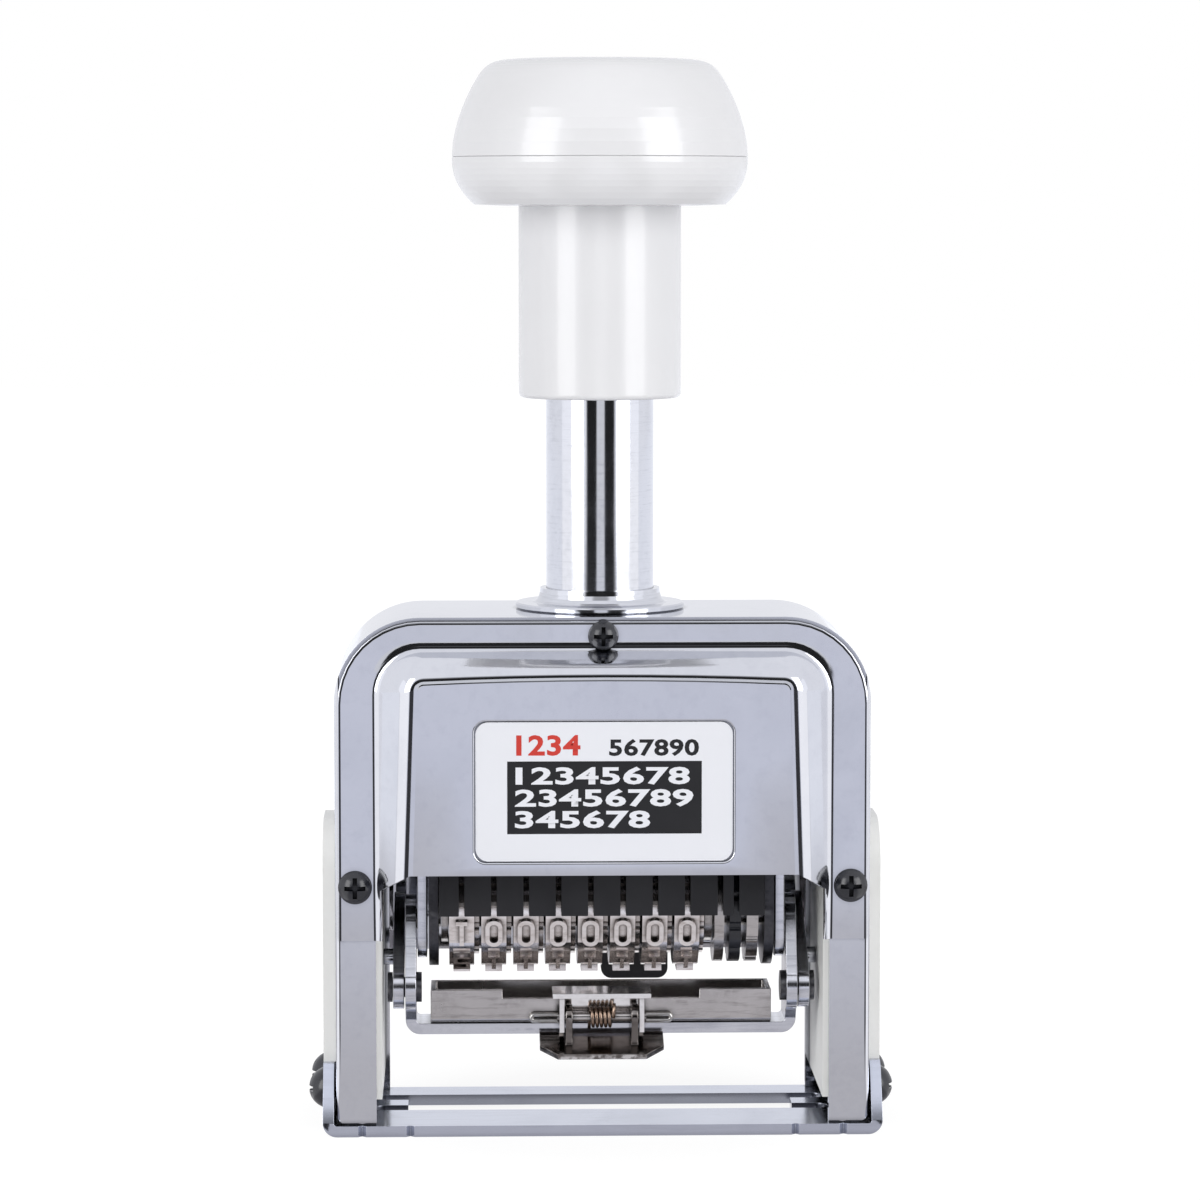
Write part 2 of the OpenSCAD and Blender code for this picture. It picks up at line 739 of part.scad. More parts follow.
module plunger_yoke() {
    color(nickel) difference() {
        union() {
            both_sides() slab_x(arm_in, arm_out) arm_outline();
            box([-slider_out + 1, -arm_front, crossbar_z], [slider_out - 1, arm_rear, crossbar_top]);
        }
        translate([0, 0, crossbar_z - 1]) cylinder(r = bolt_r + thread_gap, h = crossbar_t + 2);
        rod_x(-arm_out - 1, arm_out + 1, pivot_a, pivot_r);
    }
}

module yoke_sliders() {
    z0 = crossbar_z - 1.2;
    color(nylon) both_sides() difference() {
        box([slider_in, -arm_front - 1.4, z0], [slider_out, arm_rear + 1.4, z0 + slider_h]);
        box([slider_in - 1, -arm_front, crossbar_z], [slider_out - 1, arm_rear, crossbar_top]);
    }
}

module case_bridge() {
    color(nickel) {
        box([-arm_in, -case_front, bridge_z], [arm_in, case_rear, bridge_z + bridge_t]);
        both_sides() spring_tab(bridge_z + bridge_t - eps, bridge_z + bridge_t + tab_h, low_hole_z);
    }
}

// Side outline of a case plate: round below the shaft, square above, with a rear ear
module case_outline() {
    low_r = 9.1;
    translate([0, wheel_z]) circle(low_r);
    translate([-case_front, wheel_z]) square([case_front + case_rear, bridge_z - wheel_z]);
}

module case_plates() {
    color([0.36, 0.36, 0.38]) both_sides() difference() {
        slab_x(plate_in, plate_out) case_outline();
        rod_x(plate_in - 1, plate_out + 1, [0, wheel_z], shaft_r);
        for (y = rod_y) rod_x(plate_in - 1, plate_out + 1, [y, rod_z], rod_r);
    }
}

module case_rods() {
    color(nickel) for (y = rod_y) rod_x(-plate_out, plate_out, [y, rod_z], rod_r);
}

module comb_plate() {
    slots = concat([for (i = [0:wheel_n - 1]) wheel_x(i)], [(cam_x[0] + cam_x[1]) / 2, (dial_x[0] + dial_x[1]) / 2]);
    color(black) difference() {
        union() {
            box([-plate_in + 0.1, comb_y - comb_t, wheel_z - 0.2], [plate_in - 0.1, comb_y, bridge_z + bridge_t]);
            box([-plate_in + 0.1, comb_y - eps, bridge_z + eps], [plate_in - 0.1, -case_front, bridge_z + bridge_t]);
        }
        for (x = slots) box([x - comb_slot / 2, comb_y - comb_t - 1, 0], [x + comb_slot / 2, comb_y + eps, rod_z]);
    }
}

// Leaf fingers that press on the ratchets from above
module detent_comb() {
    finger_w = 0.55;
    tip_z = wheel_z + ratchet_r + 0.2;
    color([0.72, 0.70, 0.66]) {
        box([wheel_x(0), 2.6, bridge_z - 0.7], [wheel_x(wheel_n) - 1, 7, bridge_z]);
        for (i = [0:wheel_n - 1]) {
            x = wheel_x(i) + wheel_w / 2 + 0.1;
            box([x, 2.6, tip_z + 0.9], [x + finger_w, 3.2, bridge_z]);
            translate([x, 1.9, tip_z + 0.9]) rotate([0, 90, 0]) cylinder(r = 0.75, h = finger_w);
            box([x, 1.9, tip_z + 0.55], [x + finger_w, 3.2, tip_z + 1.25]);
        }
    }
}

module wheel_shaft() {
    color(chrome) rod_x(-plate_out - 0.1, plate_out + 0.1, [0, wheel_z], shaft_r);
}

module on_shaft(span, r) {
    translate([span[0], 0, wheel_z]) rotate([0, 90, 0]) ring(r, shaft_r, span[1] - span[0]);
}

module shaft_spacers() {
    color(chrome) {
        on_shaft([-plate_in, hub_x[0] - 0.1], 3.4);
        on_shaft([swing_x[1] + 0.1, cam_x[0]], 3.4);
        on_shaft(cam_x, disc_r);
        on_shaft([cam_x[1], dial_x[0] - 0.1], 3.4);
        on_shaft([dial_x[1] + 0.1, index_x[0]], 3.4);
        on_shaft([index_x[1], plate_in], 3.4);
    }
}

module index_disc() {
    notch_n = 12;
    color(chrome) difference() {
        on_shaft(index_x, disc_r);
        for (k = [0:notch_n - 1]) translate([index_x[0] - 1, 0, wheel_z]) rotate([k * 360 / notch_n, 0, 0])
            translate([0, disc_r, 0]) rotate([0, 90, 0]) cylinder(r = 0.6, h = 5);
    }
}

module bracket_pivots() {
    color(nickel) both_sides() rod_x(arm_in, bracket_out, pivot_a, pivot_r);
}

// ---- number wheels ----

// A digit drawn by strokes in a box of w by h, centred
module digit_outline(n) {
    w = 2.5;
    h = 3.9;
    t = 0.62;
    mid = n == 0 || n == 1 || n == 7 ? [] : [[-w / 2, -t / 2, w, t]];
    top = n == 1 || n == 4 ? [] : [[-w / 2, h / 2 - t, w, t]];
    foot = n == 1 || n == 4 || n == 7 ? [] : [[-w / 2, -h / 2, w, t]];
    left_up = n == 1 || n == 2 || n == 3 || n == 7 ? [] : [[-w / 2, 0, t, h / 2]];
    left_low = n == 0 || n == 2 || n == 6 || n == 8 ? [[-w / 2, -h / 2, t, h / 2]] : [];
    right_up = n == 1 || n == 5 || n == 6 ? [] : [[w / 2 - t, 0, t, h / 2]];
    right_low = n == 1 || n == 2 ? [] : [[w / 2 - t, -h / 2, t, h / 2]];
    stem = n == 1 ? [[-t / 2, -h / 2, t, h], [-w / 3, -h / 2, 2 * w / 3, t]] : [];
    if (n == 0 || n == 8) {
        ring_h = n == 0 ? h / 2 : h / 4;
        for (y = n == 0 ? [0] : [-h / 4, h / 4]) difference() {
            round_rect([-w / 2, y - ring_h - t / 4], [w / 2, y + ring_h + t / 4], w / 2 - 0.05);
            round_rect([t - w / 2, y - ring_h + 0.75 * t], [w / 2 - t, y + ring_h - 0.75 * t], w / 2 - t - 0.05);
        }
    } else {
        for (b = concat(mid, top, foot, left_up, left_low, right_up, right_low, stem)) {
            translate([b[0], b[1]]) square([b[2], b[3]]);
        }
    }
}

module number_wheel(i) {
    x0 = wheel_x(i) - wheel_w / 2;
    tooth_n = 10;
    color(nickel) difference() {
        translate([x0, 0, wheel_z]) rotate([0, 90, 0]) union() {
            intersection() {
                rotate(face_a / 2) cylinder(r = vertex_r, h = wheel_w, $fn = 10);
                cylinder(r = vertex_r - 0.25, h = wheel_w);
            }
            cylinder(r = ratchet_r, h = wheel_w + ratchet_t);
            for (k = [0:tooth_n - 1]) rotate((k - shown_digit[i]) * face_a)
                translate([face_r - 0.1, 0, wheel_w / 2]) rotate([0, 90, 0]) rotate(90)
                    linear_extrude(type_h + 0.1) mirror([1, 0]) rotate(90) digit_outline(k);
        }
        rod_x(x0 - 1, x0 + wheel_w + ratchet_t + 1, [0, wheel_z], bore_r);
        for (k = [0:tooth_n - 1]) translate([x0 + wheel_w, 0, wheel_z]) rotate([k * face_a, 0, 0])
            translate([0, 0, ratchet_r + 0.2]) rotate([0, 90, 0]) cylinder(r = 0.75, h = ratchet_t + 1);
    }
}

// ---- feed pawl and repeat dial ----

bar_r = type_r + 1.9;
bar_a = 20;                                             // bar below the rear horizontal at rest

module swing_disc(span) {
    difference() {
        union() {
            translate([span[0], 0, wheel_z]) rotate([0, 90, 0]) cylinder(r = 5.6, h = span[1] - span[0]);
            translate([0, 0, wheel_z]) rotate([-bar_a, 0, 0]) translate([span[0], 0, -2])
                cube([span[1] - span[0], bar_r + 1, 4]);
        }
        rod_x(span[0] - 1, span[1] + 1, [0, wheel_z], bore_r);
    }
}

module pawl_swing() {
    color(chrome) {
        swing_disc(hub_x);
        swing_disc(swing_x);
        translate([hub_x[0], 0, wheel_z]) rotate([-bar_a, 0, 0]) translate([0, bar_r, 0]) rotate([0, 90, 0])
            cylinder(r = 1, h = swing_x[1] - hub_x[0]);
    }
}

// Comb of pawl fingers on the swing's bar
module feed_pawl() {
    finger_w = 0.55;
    color([0.72, 0.70, 0.66]) translate([0, 0, wheel_z]) rotate([-bar_a, 0, 0]) difference() {
        union() {
            box([hub_x[1] + 0.2, bar_r - 1.2, -1.5], [swing_x[0] - 0.2, bar_r + 0.5, 1.5]);
            for (i = [0:wheel_n - 1]) {
                x = wheel_x(i) + wheel_w / 2 + 0.1;
                box([x, ratchet_r + 0.2, -0.5], [x + finger_w, bar_r, 0.5]);
            }
        }
        rod_x(hub_x[0], swing_x[1], [bar_r, 0], 1);
    }
}

module repeat_dial() {
    notch_n = 12;
    color(black) difference() {
        translate([dial_x[0], 0, wheel_z]) rotate([0, 90, 0]) cylinder(r = disc_r, h = dial_x[1] - dial_x[0]);
        rod_x(dial_x[0] - 1, dial_x[1] + 1, [0, wheel_z], bore_r);
        for (k = [0:notch_n - 1]) translate([dial_x[0] - 1, 0, wheel_z]) rotate([(k + 0.5) * 360 / notch_n, 0, 0])
            translate([0, disc_r + 0.3, 0]) rotate([0, 90, 0]) cylinder(r = 0.8, h = 5);
    }
}

// ---- ink pad ----

module bracket_arm() {
    foot = bracket_bottom + bracket_bend_r;
    difference() {
        union() {
            translate(pivot_a) circle(eye_r);
            translate(pivot_b) circle(eye_r);
            polygon([pivot_a - [eye_r, 0], pivot_a + [eye_r, 0], [bracket_rear, foot + 3], [bracket_rear, foot],
                     [-bracket_front, foot], pivot_b - [eye_r, 0]]);
        }
        translate(pivot_a) circle(pivot_r + run_gap);
        translate(pivot_b) circle(pivot_r);
    }
}

module pad_bracket() {
    color(chrome) {
        both_sides() slab_x(bracket_in, bracket_out) bracket_arm();
        slab_y(-bracket_front, bracket_rear) difference() {
            round_rect([-bracket_out, bracket_bottom], [bracket_out, bracket_bottom + 4 * bracket_bend_r],
                       bracket_bend_r);
            round_rect([-bracket_in, tray_z], [bracket_in, bracket_bottom + 6 * bracket_bend_r],
                       bracket_bend_r - bracket_t);
            translate([-bracket_out - 1, bracket_bottom + bracket_bend_r + eps])
                square([2 * bracket_out + 2, 8 * bracket_bend_r]);
        }
    }
}

module pad_tray() {
    half = tray_l / 2;
    floor_r = 1.1;
    color(nickel) difference() {
        slab_x(-half, half) difference() {
            round_rect([-tray_front, tray_z], [tray_rear, tray_top + 2], floor_r);
            translate([-tray_front - 1, tray_top]) square([tray_front + tray_rear + 2, 3]);
        }
        box([-half + tray_t, -tray_front + tray_t, tray_z + tray_t], [half - tray_t, tray_rear - tray_t, tray_top + 1]);
        box([-cut_half, -tray_front - 1, tray_top - cut_d], [cut_half, -tray_front + tray_t + eps, tray_top + 1]);
    }
}

module link_pivots() {
    color(nickel) both_sides() {
        rod_x(bracket_in - rivet_h, link_out + rivet_h, pivot_b, pivot_r);
        rod_x(bracket_in - rivet_h, bracket_in, pivot_b, rivet_r);
        rod_x(link_out + 0.1, link_out + rivet_h, pivot_b, rivet_r);
    }
}

module pad_links() {
    color(chrome) both_sides() slab_x(link_in, link_out) translate(pivot_b) rotate(90 - lean_rest) difference() {
        stadium(reach_max, link_r);
        circle(pivot_r + run_gap);
        translate([reach_min, 0]) stadium(reach_max - reach_min, link_slot_r);
    }
}

module clip_bracket() {
    wall_y = -tray_front;
    color(chrome) difference() {
        union() {
            box([-clip_half, -clip_front, clip_top - clip_t], [clip_half, wall_y + tray_t + 0.8, clip_top]);
            box([-clip_half + 1, wall_y - clip_t, tray_z + 0.4], [clip_half - 1, wall_y, clip_top - eps]);
            both_sides() box([clip_cheek, -clip_front + 0.3, tray_z - 0.5], [clip_cheek + clip_t, wall_y, clip_top - eps]);
        }
        rod_x(-clip_half, clip_half, [clip_pin_y, clip_pin_z], clip_pin_d / 2);
    }
}

module clip_pin() {
    color(chrome) rod_x(-clip_cheek - clip_t - 0.3, clip_cheek + clip_t + 0.3, [clip_pin_y, clip_pin_z], clip_pin_d / 2);
}

// Torsion spring round the clip's pin, with two legs
module clip_spring() {
    r = clip_pin_d / 2 + coil_wire_r + 0.1;
    pitch = 2 * coil_wire_r + 0.04;
    end_x = (coil_n - 1) / 2 * pitch;
    color([0.72, 0.45, 0.30]) translate([0, clip_pin_y, clip_pin_z]) {
        for (k = [0:coil_n - 1]) translate([k * pitch - end_x, 0, 0]) rotate([0, 90, 0]) wire_ring(r, coil_wire_r);
        translate([end_x, r, 0]) cylinder(r = coil_wire_r * 0.8, h = 2.2);
        translate([-end_x, -r, -2]) cylinder(r = coil_wire_r * 0.8, h = 2);
    }
}

// Hairpin wire loops either side of the clip
module clip_wire() {
    y = -tray_front - 0.7;
    gap = 0.45;
    color(chrome) both_sides() {
        for (s = [-1, 1]) rod_x(clip_cheek + clip_t, clip_half + 2.6, [y, clip_pin_z - 0.6 + s * gap], wire_r);
        translate([clip_half + 2.6, y, clip_pin_z - 0.6]) rotate([90, 0, 0])
            rotate([0, 0, -90]) rotate_extrude(angle = 180) translate([gap, 0]) circle(wire_r);
    }
}

module clip_lever() {
    pin = [clip_pin_y, clip_pin_z];
    plate_back = [-tray_front - 0.9, tray_z - 1];
    plate_l = 6.6;
    plate_t = 0.9;
    slope = 20;
    half = clip_half + 1.9;
    corner = 2.6;
    color(chrome) difference() {
        union() {
            both_sides() slab_x(ear_in, ear_in + ear_t) {
                translate(pin) circle(1.9);
                polygon([pin - [1.9, 0], pin + [1.9, 0], plate_back - [0.2, 0.5], plate_back - [3.6, 2]]);
            }
            translate([0, plate_back.x, plate_back.y]) rotate([slope, 0, 0]) translate([0, 0, -plate_t])
                linear_extrude(plate_t) polygon([[-half, 0], [half, 0], [half, corner - plate_l],
                                             [half - corner, -plate_l], [corner - half, -plate_l],
                                             [-half, corner - plate_l]]);
        }
        rod_x(-clip_half, clip_half, pin, clip_pin_d / 2 + run_gap);
    }
}

// ---- lock button ----

module lock_button() {
    y0 = panel_rear_y + lock_travel + 0.2;
    head_t = lock_head_y - y0;
    stop_y = panel_rear_y - cover_t;
    stem_half = lock_w / 2 - 1.8 - side_gap;
    z0 = lock_z - 9;
    color(black) {
        hull() {
            slab_y(y0, y0 + head_t - 1.6) translate([lock_x, 0])
                round_rect([-lock_w / 2, z0], [lock_w / 2, z0 + lock_h], 1.6, $fn = 32);
            slab_y(y0 + 0.5, y0 + head_t) translate([lock_x, 0])
                round_rect([1.6 - lock_w / 2, z0 + 1.6], [lock_w / 2 - 1.6, z0 + lock_h - 1.6], 1, $fn = 32);
        }
        box([lock_x - stem_half, stop_y - lock_stop_t, lock_z - 2], [lock_x + stem_half, y0 + 1, lock_z + 5]);
        box([lock_x - stem_half - 1, stop_y - lock_stop_t - 0.1, lock_z - 3],
            [lock_x + stem_half + 1, stop_y - 0.1, lock_z + 6]);
    }
}

// ---- return springs ----

// Tube swept along a helix: turns, coil radius, wire radius, height
module helix_wire(turns, r, wire, h) {
    per_turn = 10;
    sides = 6;
    n = turns * per_turn;
    points = [for (i = [0:n], j = [0:sides - 1])
        let (a = 360 * i / per_turn, b = 360 * j / sides, q = r + wire * cos(b))
        [q * cos(a), q * sin(a), h * i / n + wire * sin(b)]];
    walls = [for (i = [0:n - 1], j = [0:sides - 1])
        let (k = (j + 1) % sides) [i * sides + k, (i + 1) * sides + k, (i + 1) * sides + j, i * sides + j]];
    ends = [[for (j = [0:sides - 1]) sides - 1 - j], [for (j = [0:sides - 1]) n * sides + j]];
    polyhedron(points, concat(walls, ends));
}

module return_springs() {
    coil_low = low_hole_z + 2 * hook_r;
    coil_high = hole_z - 2 * hook_r;
    coil_r = 2;
    y = (hanger_y[0] + hanger_y[1]) / 2;
    color([0.70, 0.70, 0.72]) both_sides() translate([hanger_x, y, 0]) {
        translate([0, 0, coil_low]) helix_wire(13, coil_r, hook_wire, coil_high - coil_low);
        for (z = [coil_low, coil_high]) translate([0, 0, z]) rotate([0, 90, 0])
            cylinder(r = hook_wire, h = coil_r + 0.1);
        for (z = [low_hole_z + hook_r, hole_z - hook_r]) translate([0, 0, z]) rotate([0, 90, 0])
            wire_ring(hook_r, hook_wire);
    }
}

base_plate();
base_screws();
frame_yoke();
leg_liners();
side_strips();
front_cover();
rear_cover();
cover_screws();
label_plate();
collar();
collar_nut();
spring_hangers();
guide_pins();
knob_top();
knob_base();
handle_neck();
handle_nut();
plunger_tube();
tube_plug();
yoke_bolt();
stop_sleeve();
plunger_yoke();
yoke_sliders();
case_bridge();
case_plates();
case_rods();
comb_plate();
detent_comb();
wheel_shaft();
shaft_spacers();
index_disc();
bracket_pivots();
return_springs();
number_wheel(0);  // number_wheel_1
number_wheel(1);  // number_wheel_2
number_wheel(2);  // number_wheel_3
number_wheel(3);  // number_wheel_4
number_wheel(4);  // number_wheel_5
number_wheel(5);  // number_wheel_6
number_wheel(6);  // number_wheel_7
number_wheel(7);  // number_wheel_8
pawl_swing();
feed_pawl();
repeat_dial();
pad_bracket();
pad_tray();
link_pivots();
clip_bracket();
clip_pin();
clip_spring();
clip_wire();
clip_lever();
pad_links();
lock_button();
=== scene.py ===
# %% [markdown]
# # A hand numbering machine
# A knob pushes a plunger down through an upright chromed frame. The plunger carries eight number
# wheels, and on the way down it swings an ink pad out from under them. This lesson dresses the exact
# solids of that machine: first the frame is loaded, then come the finishes, then the pieces that need
# a better surface than the solids give, and last the studio.

# %% Load the frame
import math
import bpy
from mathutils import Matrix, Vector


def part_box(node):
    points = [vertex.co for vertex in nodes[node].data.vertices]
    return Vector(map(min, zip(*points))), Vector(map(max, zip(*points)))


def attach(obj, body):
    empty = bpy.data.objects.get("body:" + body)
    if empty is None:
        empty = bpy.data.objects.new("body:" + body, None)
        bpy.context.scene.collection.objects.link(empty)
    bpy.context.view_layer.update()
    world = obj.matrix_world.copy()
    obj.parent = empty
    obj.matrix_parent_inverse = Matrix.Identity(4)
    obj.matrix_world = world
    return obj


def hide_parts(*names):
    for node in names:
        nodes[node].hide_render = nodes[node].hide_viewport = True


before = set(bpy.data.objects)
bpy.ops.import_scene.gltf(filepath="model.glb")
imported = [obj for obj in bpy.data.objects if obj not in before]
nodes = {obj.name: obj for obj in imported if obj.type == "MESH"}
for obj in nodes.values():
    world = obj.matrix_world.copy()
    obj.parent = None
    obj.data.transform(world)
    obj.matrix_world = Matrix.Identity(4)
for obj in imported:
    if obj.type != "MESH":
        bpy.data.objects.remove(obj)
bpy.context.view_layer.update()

from types import SimpleNamespace

import bmesh
import bpy
from mathutils import Vector

MM = 0.001
same_point = 0.001 * MM

# %% [markdown]
# ## Camera
# The machine is seen from in front, from about the height of its knob and a little to the left, at arm's
# length. A wide lens held close would swell the knob and spread the legs. A long lens keeps both true. It
# points at the middle of the machine, so that other views keep the machine in the middle too.

# %% Camera
eye = Vector((-19.3, -650.0, 136.0)) * MM
look_at = Vector((0.03, 0.0, 76.65)) * MM
camera_data = bpy.data.cameras.new("camera")
camera_data.sensor_width = 36
camera_data.lens = 132.75
camera_data.clip_start = 0.05
camera = bpy.data.objects.new("camera", camera_data)
bpy.context.scene.collection.objects.link(camera)
camera.location = eye
camera.rotation_euler = (look_at - eye).to_track_quat("-Z", "Y").to_euler()
bpy.context.scene.camera = camera
print("lens in mm", round(camera_data.lens, 1), "distance in mm", round((look_at - eye).length / MM))

# %% [markdown]
# ## Shared effects
# Real surfaces are never even. Six effects come back in the finishes here: the fine lines that
# polishing leaves, the smudges of handling, brighter edges that are partly wear and partly a painted
# glint, painted shade in hollows that stands for grime as well, the skin of moulded plastic, and painted
# shade on the upright walls of punched openings. They could be wired again in every material. Each is
# built once as a node group instead, so that every material can place it with its own values.

# %% Helpers that add nodes and feed their inputs
FLOAT, VECTOR = "NodeSocketFloat", "NodeSocketVector"


def feed(tree, socket, value):
    if isinstance(value, bpy.types.NodeSocket):
        tree.links.new(value, socket)
    else:
        socket.default_value = value


def add_node(tree, kind, inputs=None, **settings):
    made = tree.nodes.new(kind)
    for key, value in settings.items():
        setattr(made, key, value)
    for title, value in (inputs or {}).items():
        feed(tree, made.inputs[title], value)
    return made


def maths(tree, operation, first, second=0.0):
    return add_node(tree, "ShaderNodeMath", {0: first, 1: second}, operation=operation).outputs["Value"]


def spread(tree, value, low, high, to_low=0.0, to_high=1.0):
    inputs = {"Value": value, "From Min": low, "From Max": high, "To Min": to_low, "To Max": to_high}
    return add_node(tree, "ShaderNodeMapRange", inputs).outputs["Result"]


def object_place(tree):
    return add_node(tree, "ShaderNodeTexCoord").outputs["Object"]


def split_axes(tree, vector):
    return add_node(tree, "ShaderNodeSeparateXYZ", {"Vector": vector}).outputs


# %% Helpers that start and end a node group
def start_group(name, inputs, outputs):
    group = bpy.data.node_groups.new(name, "ShaderNodeTree")
    for title, kind, value in inputs:
        socket = group.interface.new_socket(name=title, in_out="INPUT", socket_type=kind)
        socket.default_value = value
    for title in outputs:
        group.interface.new_socket(name=title, in_out="OUTPUT", socket_type=FLOAT)
    return group, group.nodes.new("NodeGroupInput").outputs


def end_group(group, **results):
    group_output = group.nodes.new("NodeGroupOutput")
    for title, value in results.items():
        group.links.new(value, group_output.inputs[title])
    print("node group", group.name, "puts out", sorted(results))


# %% Polishing lines: noise stretched along one direction
lines_group, given = start_group(
    "polishing lines", [("Scale", FLOAT, 900.0), ("Stretch", VECTOR, (1.0, 1.0, 1.0))], ["Mask", "Height"])
line_range = (0.5, 0.7)
stretched = add_node(lines_group, "ShaderNodeVectorMath", {
    0: object_place(lines_group), 1: given["Stretch"]}, operation="MULTIPLY").outputs["Vector"]
grain = add_node(lines_group, "ShaderNodeTexNoise", {
    "Vector": stretched, "Scale": given["Scale"], "Detail": 4.0, "Roughness": 0.6}).outputs["Fac"]
end_group(lines_group, Mask=spread(lines_group, grain, *line_range), Height=grain)

# %% Smudges: large soft patches with a little fine speckle
smudge_group, given = start_group("handling smudges", [("Scale", FLOAT, 60.0)], ["Mask"])
smudge_range = (0.38, 0.72)
patches = add_node(smudge_group, "ShaderNodeTexNoise", {
    "Vector": object_place(smudge_group), "Scale": given["Scale"],
    "Detail": 5.0, "Roughness": 0.62, "Distortion": 0.6}).outputs["Fac"]
end_group(smudge_group, Mask=spread(smudge_group, patches, *smudge_range))

# %% Bright edges: where the surface turns sharply outward, broken up by noise; wear, and on some parts a painted glint
wear_and_glint_group, given = start_group("edge wear and glint", [("Scale", FLOAT, 700.0)], ["Mask"])
edge_range, chip_range = (0.52, 0.62), (0.40, 0.60)
pointed = add_node(wear_and_glint_group, "ShaderNodeNewGeometry").outputs["Pointiness"]
chips = add_node(wear_and_glint_group, "ShaderNodeTexNoise", {
    "Vector": object_place(wear_and_glint_group), "Scale": given["Scale"], "Detail": 3.0}).outputs["Fac"]
edges = spread(wear_and_glint_group, pointed, *edge_range)
end_group(wear_and_glint_group, Mask=maths(wear_and_glint_group, "MULTIPLY", edges, spread(wear_and_glint_group, chips, *chip_range)))

# %% Hollows: painted shade in corners and recesses, standing for grime as well
hollow_group, given = start_group("hollows", [("Reach", FLOAT, 0.8 * MM)], ["Mask"])
open_face, deep_corner = 0.95, 0.45
openness = add_node(hollow_group, "ShaderNodeAmbientOcclusion", {"Distance": given["Reach"]}, samples=8)
end_group(hollow_group, Mask=spread(hollow_group, openness.outputs["AO"], open_face, deep_corner))

# %% Moulded plastic: a very fine skin and a slow mottle
mould_group, given = start_group("moulded skin", [("Scale", FLOAT, 1500.0)], ["Mottle", "Height"])
mottle_scale, mottle_range = 90.0, (0.35, 0.65)
place = object_place(mould_group)
fine = add_node(mould_group, "ShaderNodeTexNoise", {
    "Vector": place, "Scale": given["Scale"], "Detail": 2.0}).outputs["Fac"]
mottle = add_node(mould_group, "ShaderNodeTexNoise", {
    "Vector": place, "Scale": mottle_scale, "Detail": 3.0}).outputs["Fac"]
end_group(mould_group, Mottle=spread(mould_group, mottle, *mottle_range), Height=fine)

# %% Painted shade on the walls of punched openings: upright faces that lie behind the plate's front edge
slot_wall_shade_group, given = start_group("painted shade on slot walls", [], ["Mask"])
tilt_range, edge_zone = (0.3, 0.6), (-12 * MM, -10 * MM)
face_normal = add_node(slot_wall_shade_group, "ShaderNodeNewGeometry").outputs["True Normal"]
turned_up = maths(slot_wall_shade_group, "ABSOLUTE", split_axes(slot_wall_shade_group, face_normal)["Z"])
upright = spread(slot_wall_shade_group, turned_up, *tilt_range, 1.0, 0.0)
depth_in_plate = split_axes(slot_wall_shade_group, object_place(slot_wall_shade_group))["Y"]
behind_edge = spread(slot_wall_shade_group, depth_in_plate, *edge_zone)
end_group(slot_wall_shade_group, Mask=maths(slot_wall_shade_group, "MULTIPLY", upright, behind_edge))

# %% [markdown]
# ## Two recipes
# Every metal here is one recipe with different values: a base colour that polishing lines and smudges
# darken a little, a roughness that rises where hands have been, painted shade in the hollows that stands
# for grime as well, and a shallow bump along the lines. A plain metallic shader would be quicker, but it
# looks like a toy from close by.
# Plastic is the other recipe: an even colour with a slow mottle under a glossy or dull skin.

# %% Helpers that wire a material
def place_group(tree, group, **values):
    made = add_node(tree, "ShaderNodeGroup")
    made.node_tree = group
    for key, value in values.items():
        made.inputs[key].default_value = value
    return made.outputs


def blend_colour(tree, first, second, mask, amount=1.0):
    mix = add_node(tree, "ShaderNodeMix", data_type="RGBA")
    factor, first_socket, second_socket = mix.inputs[0], mix.inputs[6], mix.inputs[7]
    for socket, colour in ((first_socket, first), (second_socket, second)):
        feed(tree, socket, (*colour, 1.0) if isinstance(colour, tuple) else colour)
    feed(tree, factor, maths(tree, "MULTIPLY", mask, amount))
    return mix.outputs[2]


def darker(colour, share):
    return tuple(share * part for part in colour)


def start_material(name):
    material = bpy.data.materials.new(name)
    material.use_nodes = True
    return material, material.node_tree, material.node_tree.nodes["Principled BSDF"]


def cover_skin(tree, skin, colour, roughness, height, depth, strength):
    bump = add_node(tree, "ShaderNodeBump", {"Height": height, "Distance": depth * MM, "Strength": strength})
    feed(tree, skin.inputs["Base Color"], colour)
    feed(tree, skin.inputs["Roughness"], roughness)
    feed(tree, skin.inputs["Normal"], bump.outputs["Normal"])


# %% The metal recipe
smudge_scale, smudge_amount = 70.0, 0.35
wear_scale, wear_and_glint_amount = 900.0, 0.7
# How dark the painted shade in hollows and on the slot's walls is, as a share of the dull colour
hollow_shade_tone, slot_wall_shade_tone = 0.25, 0.35
line_strength = 0.5


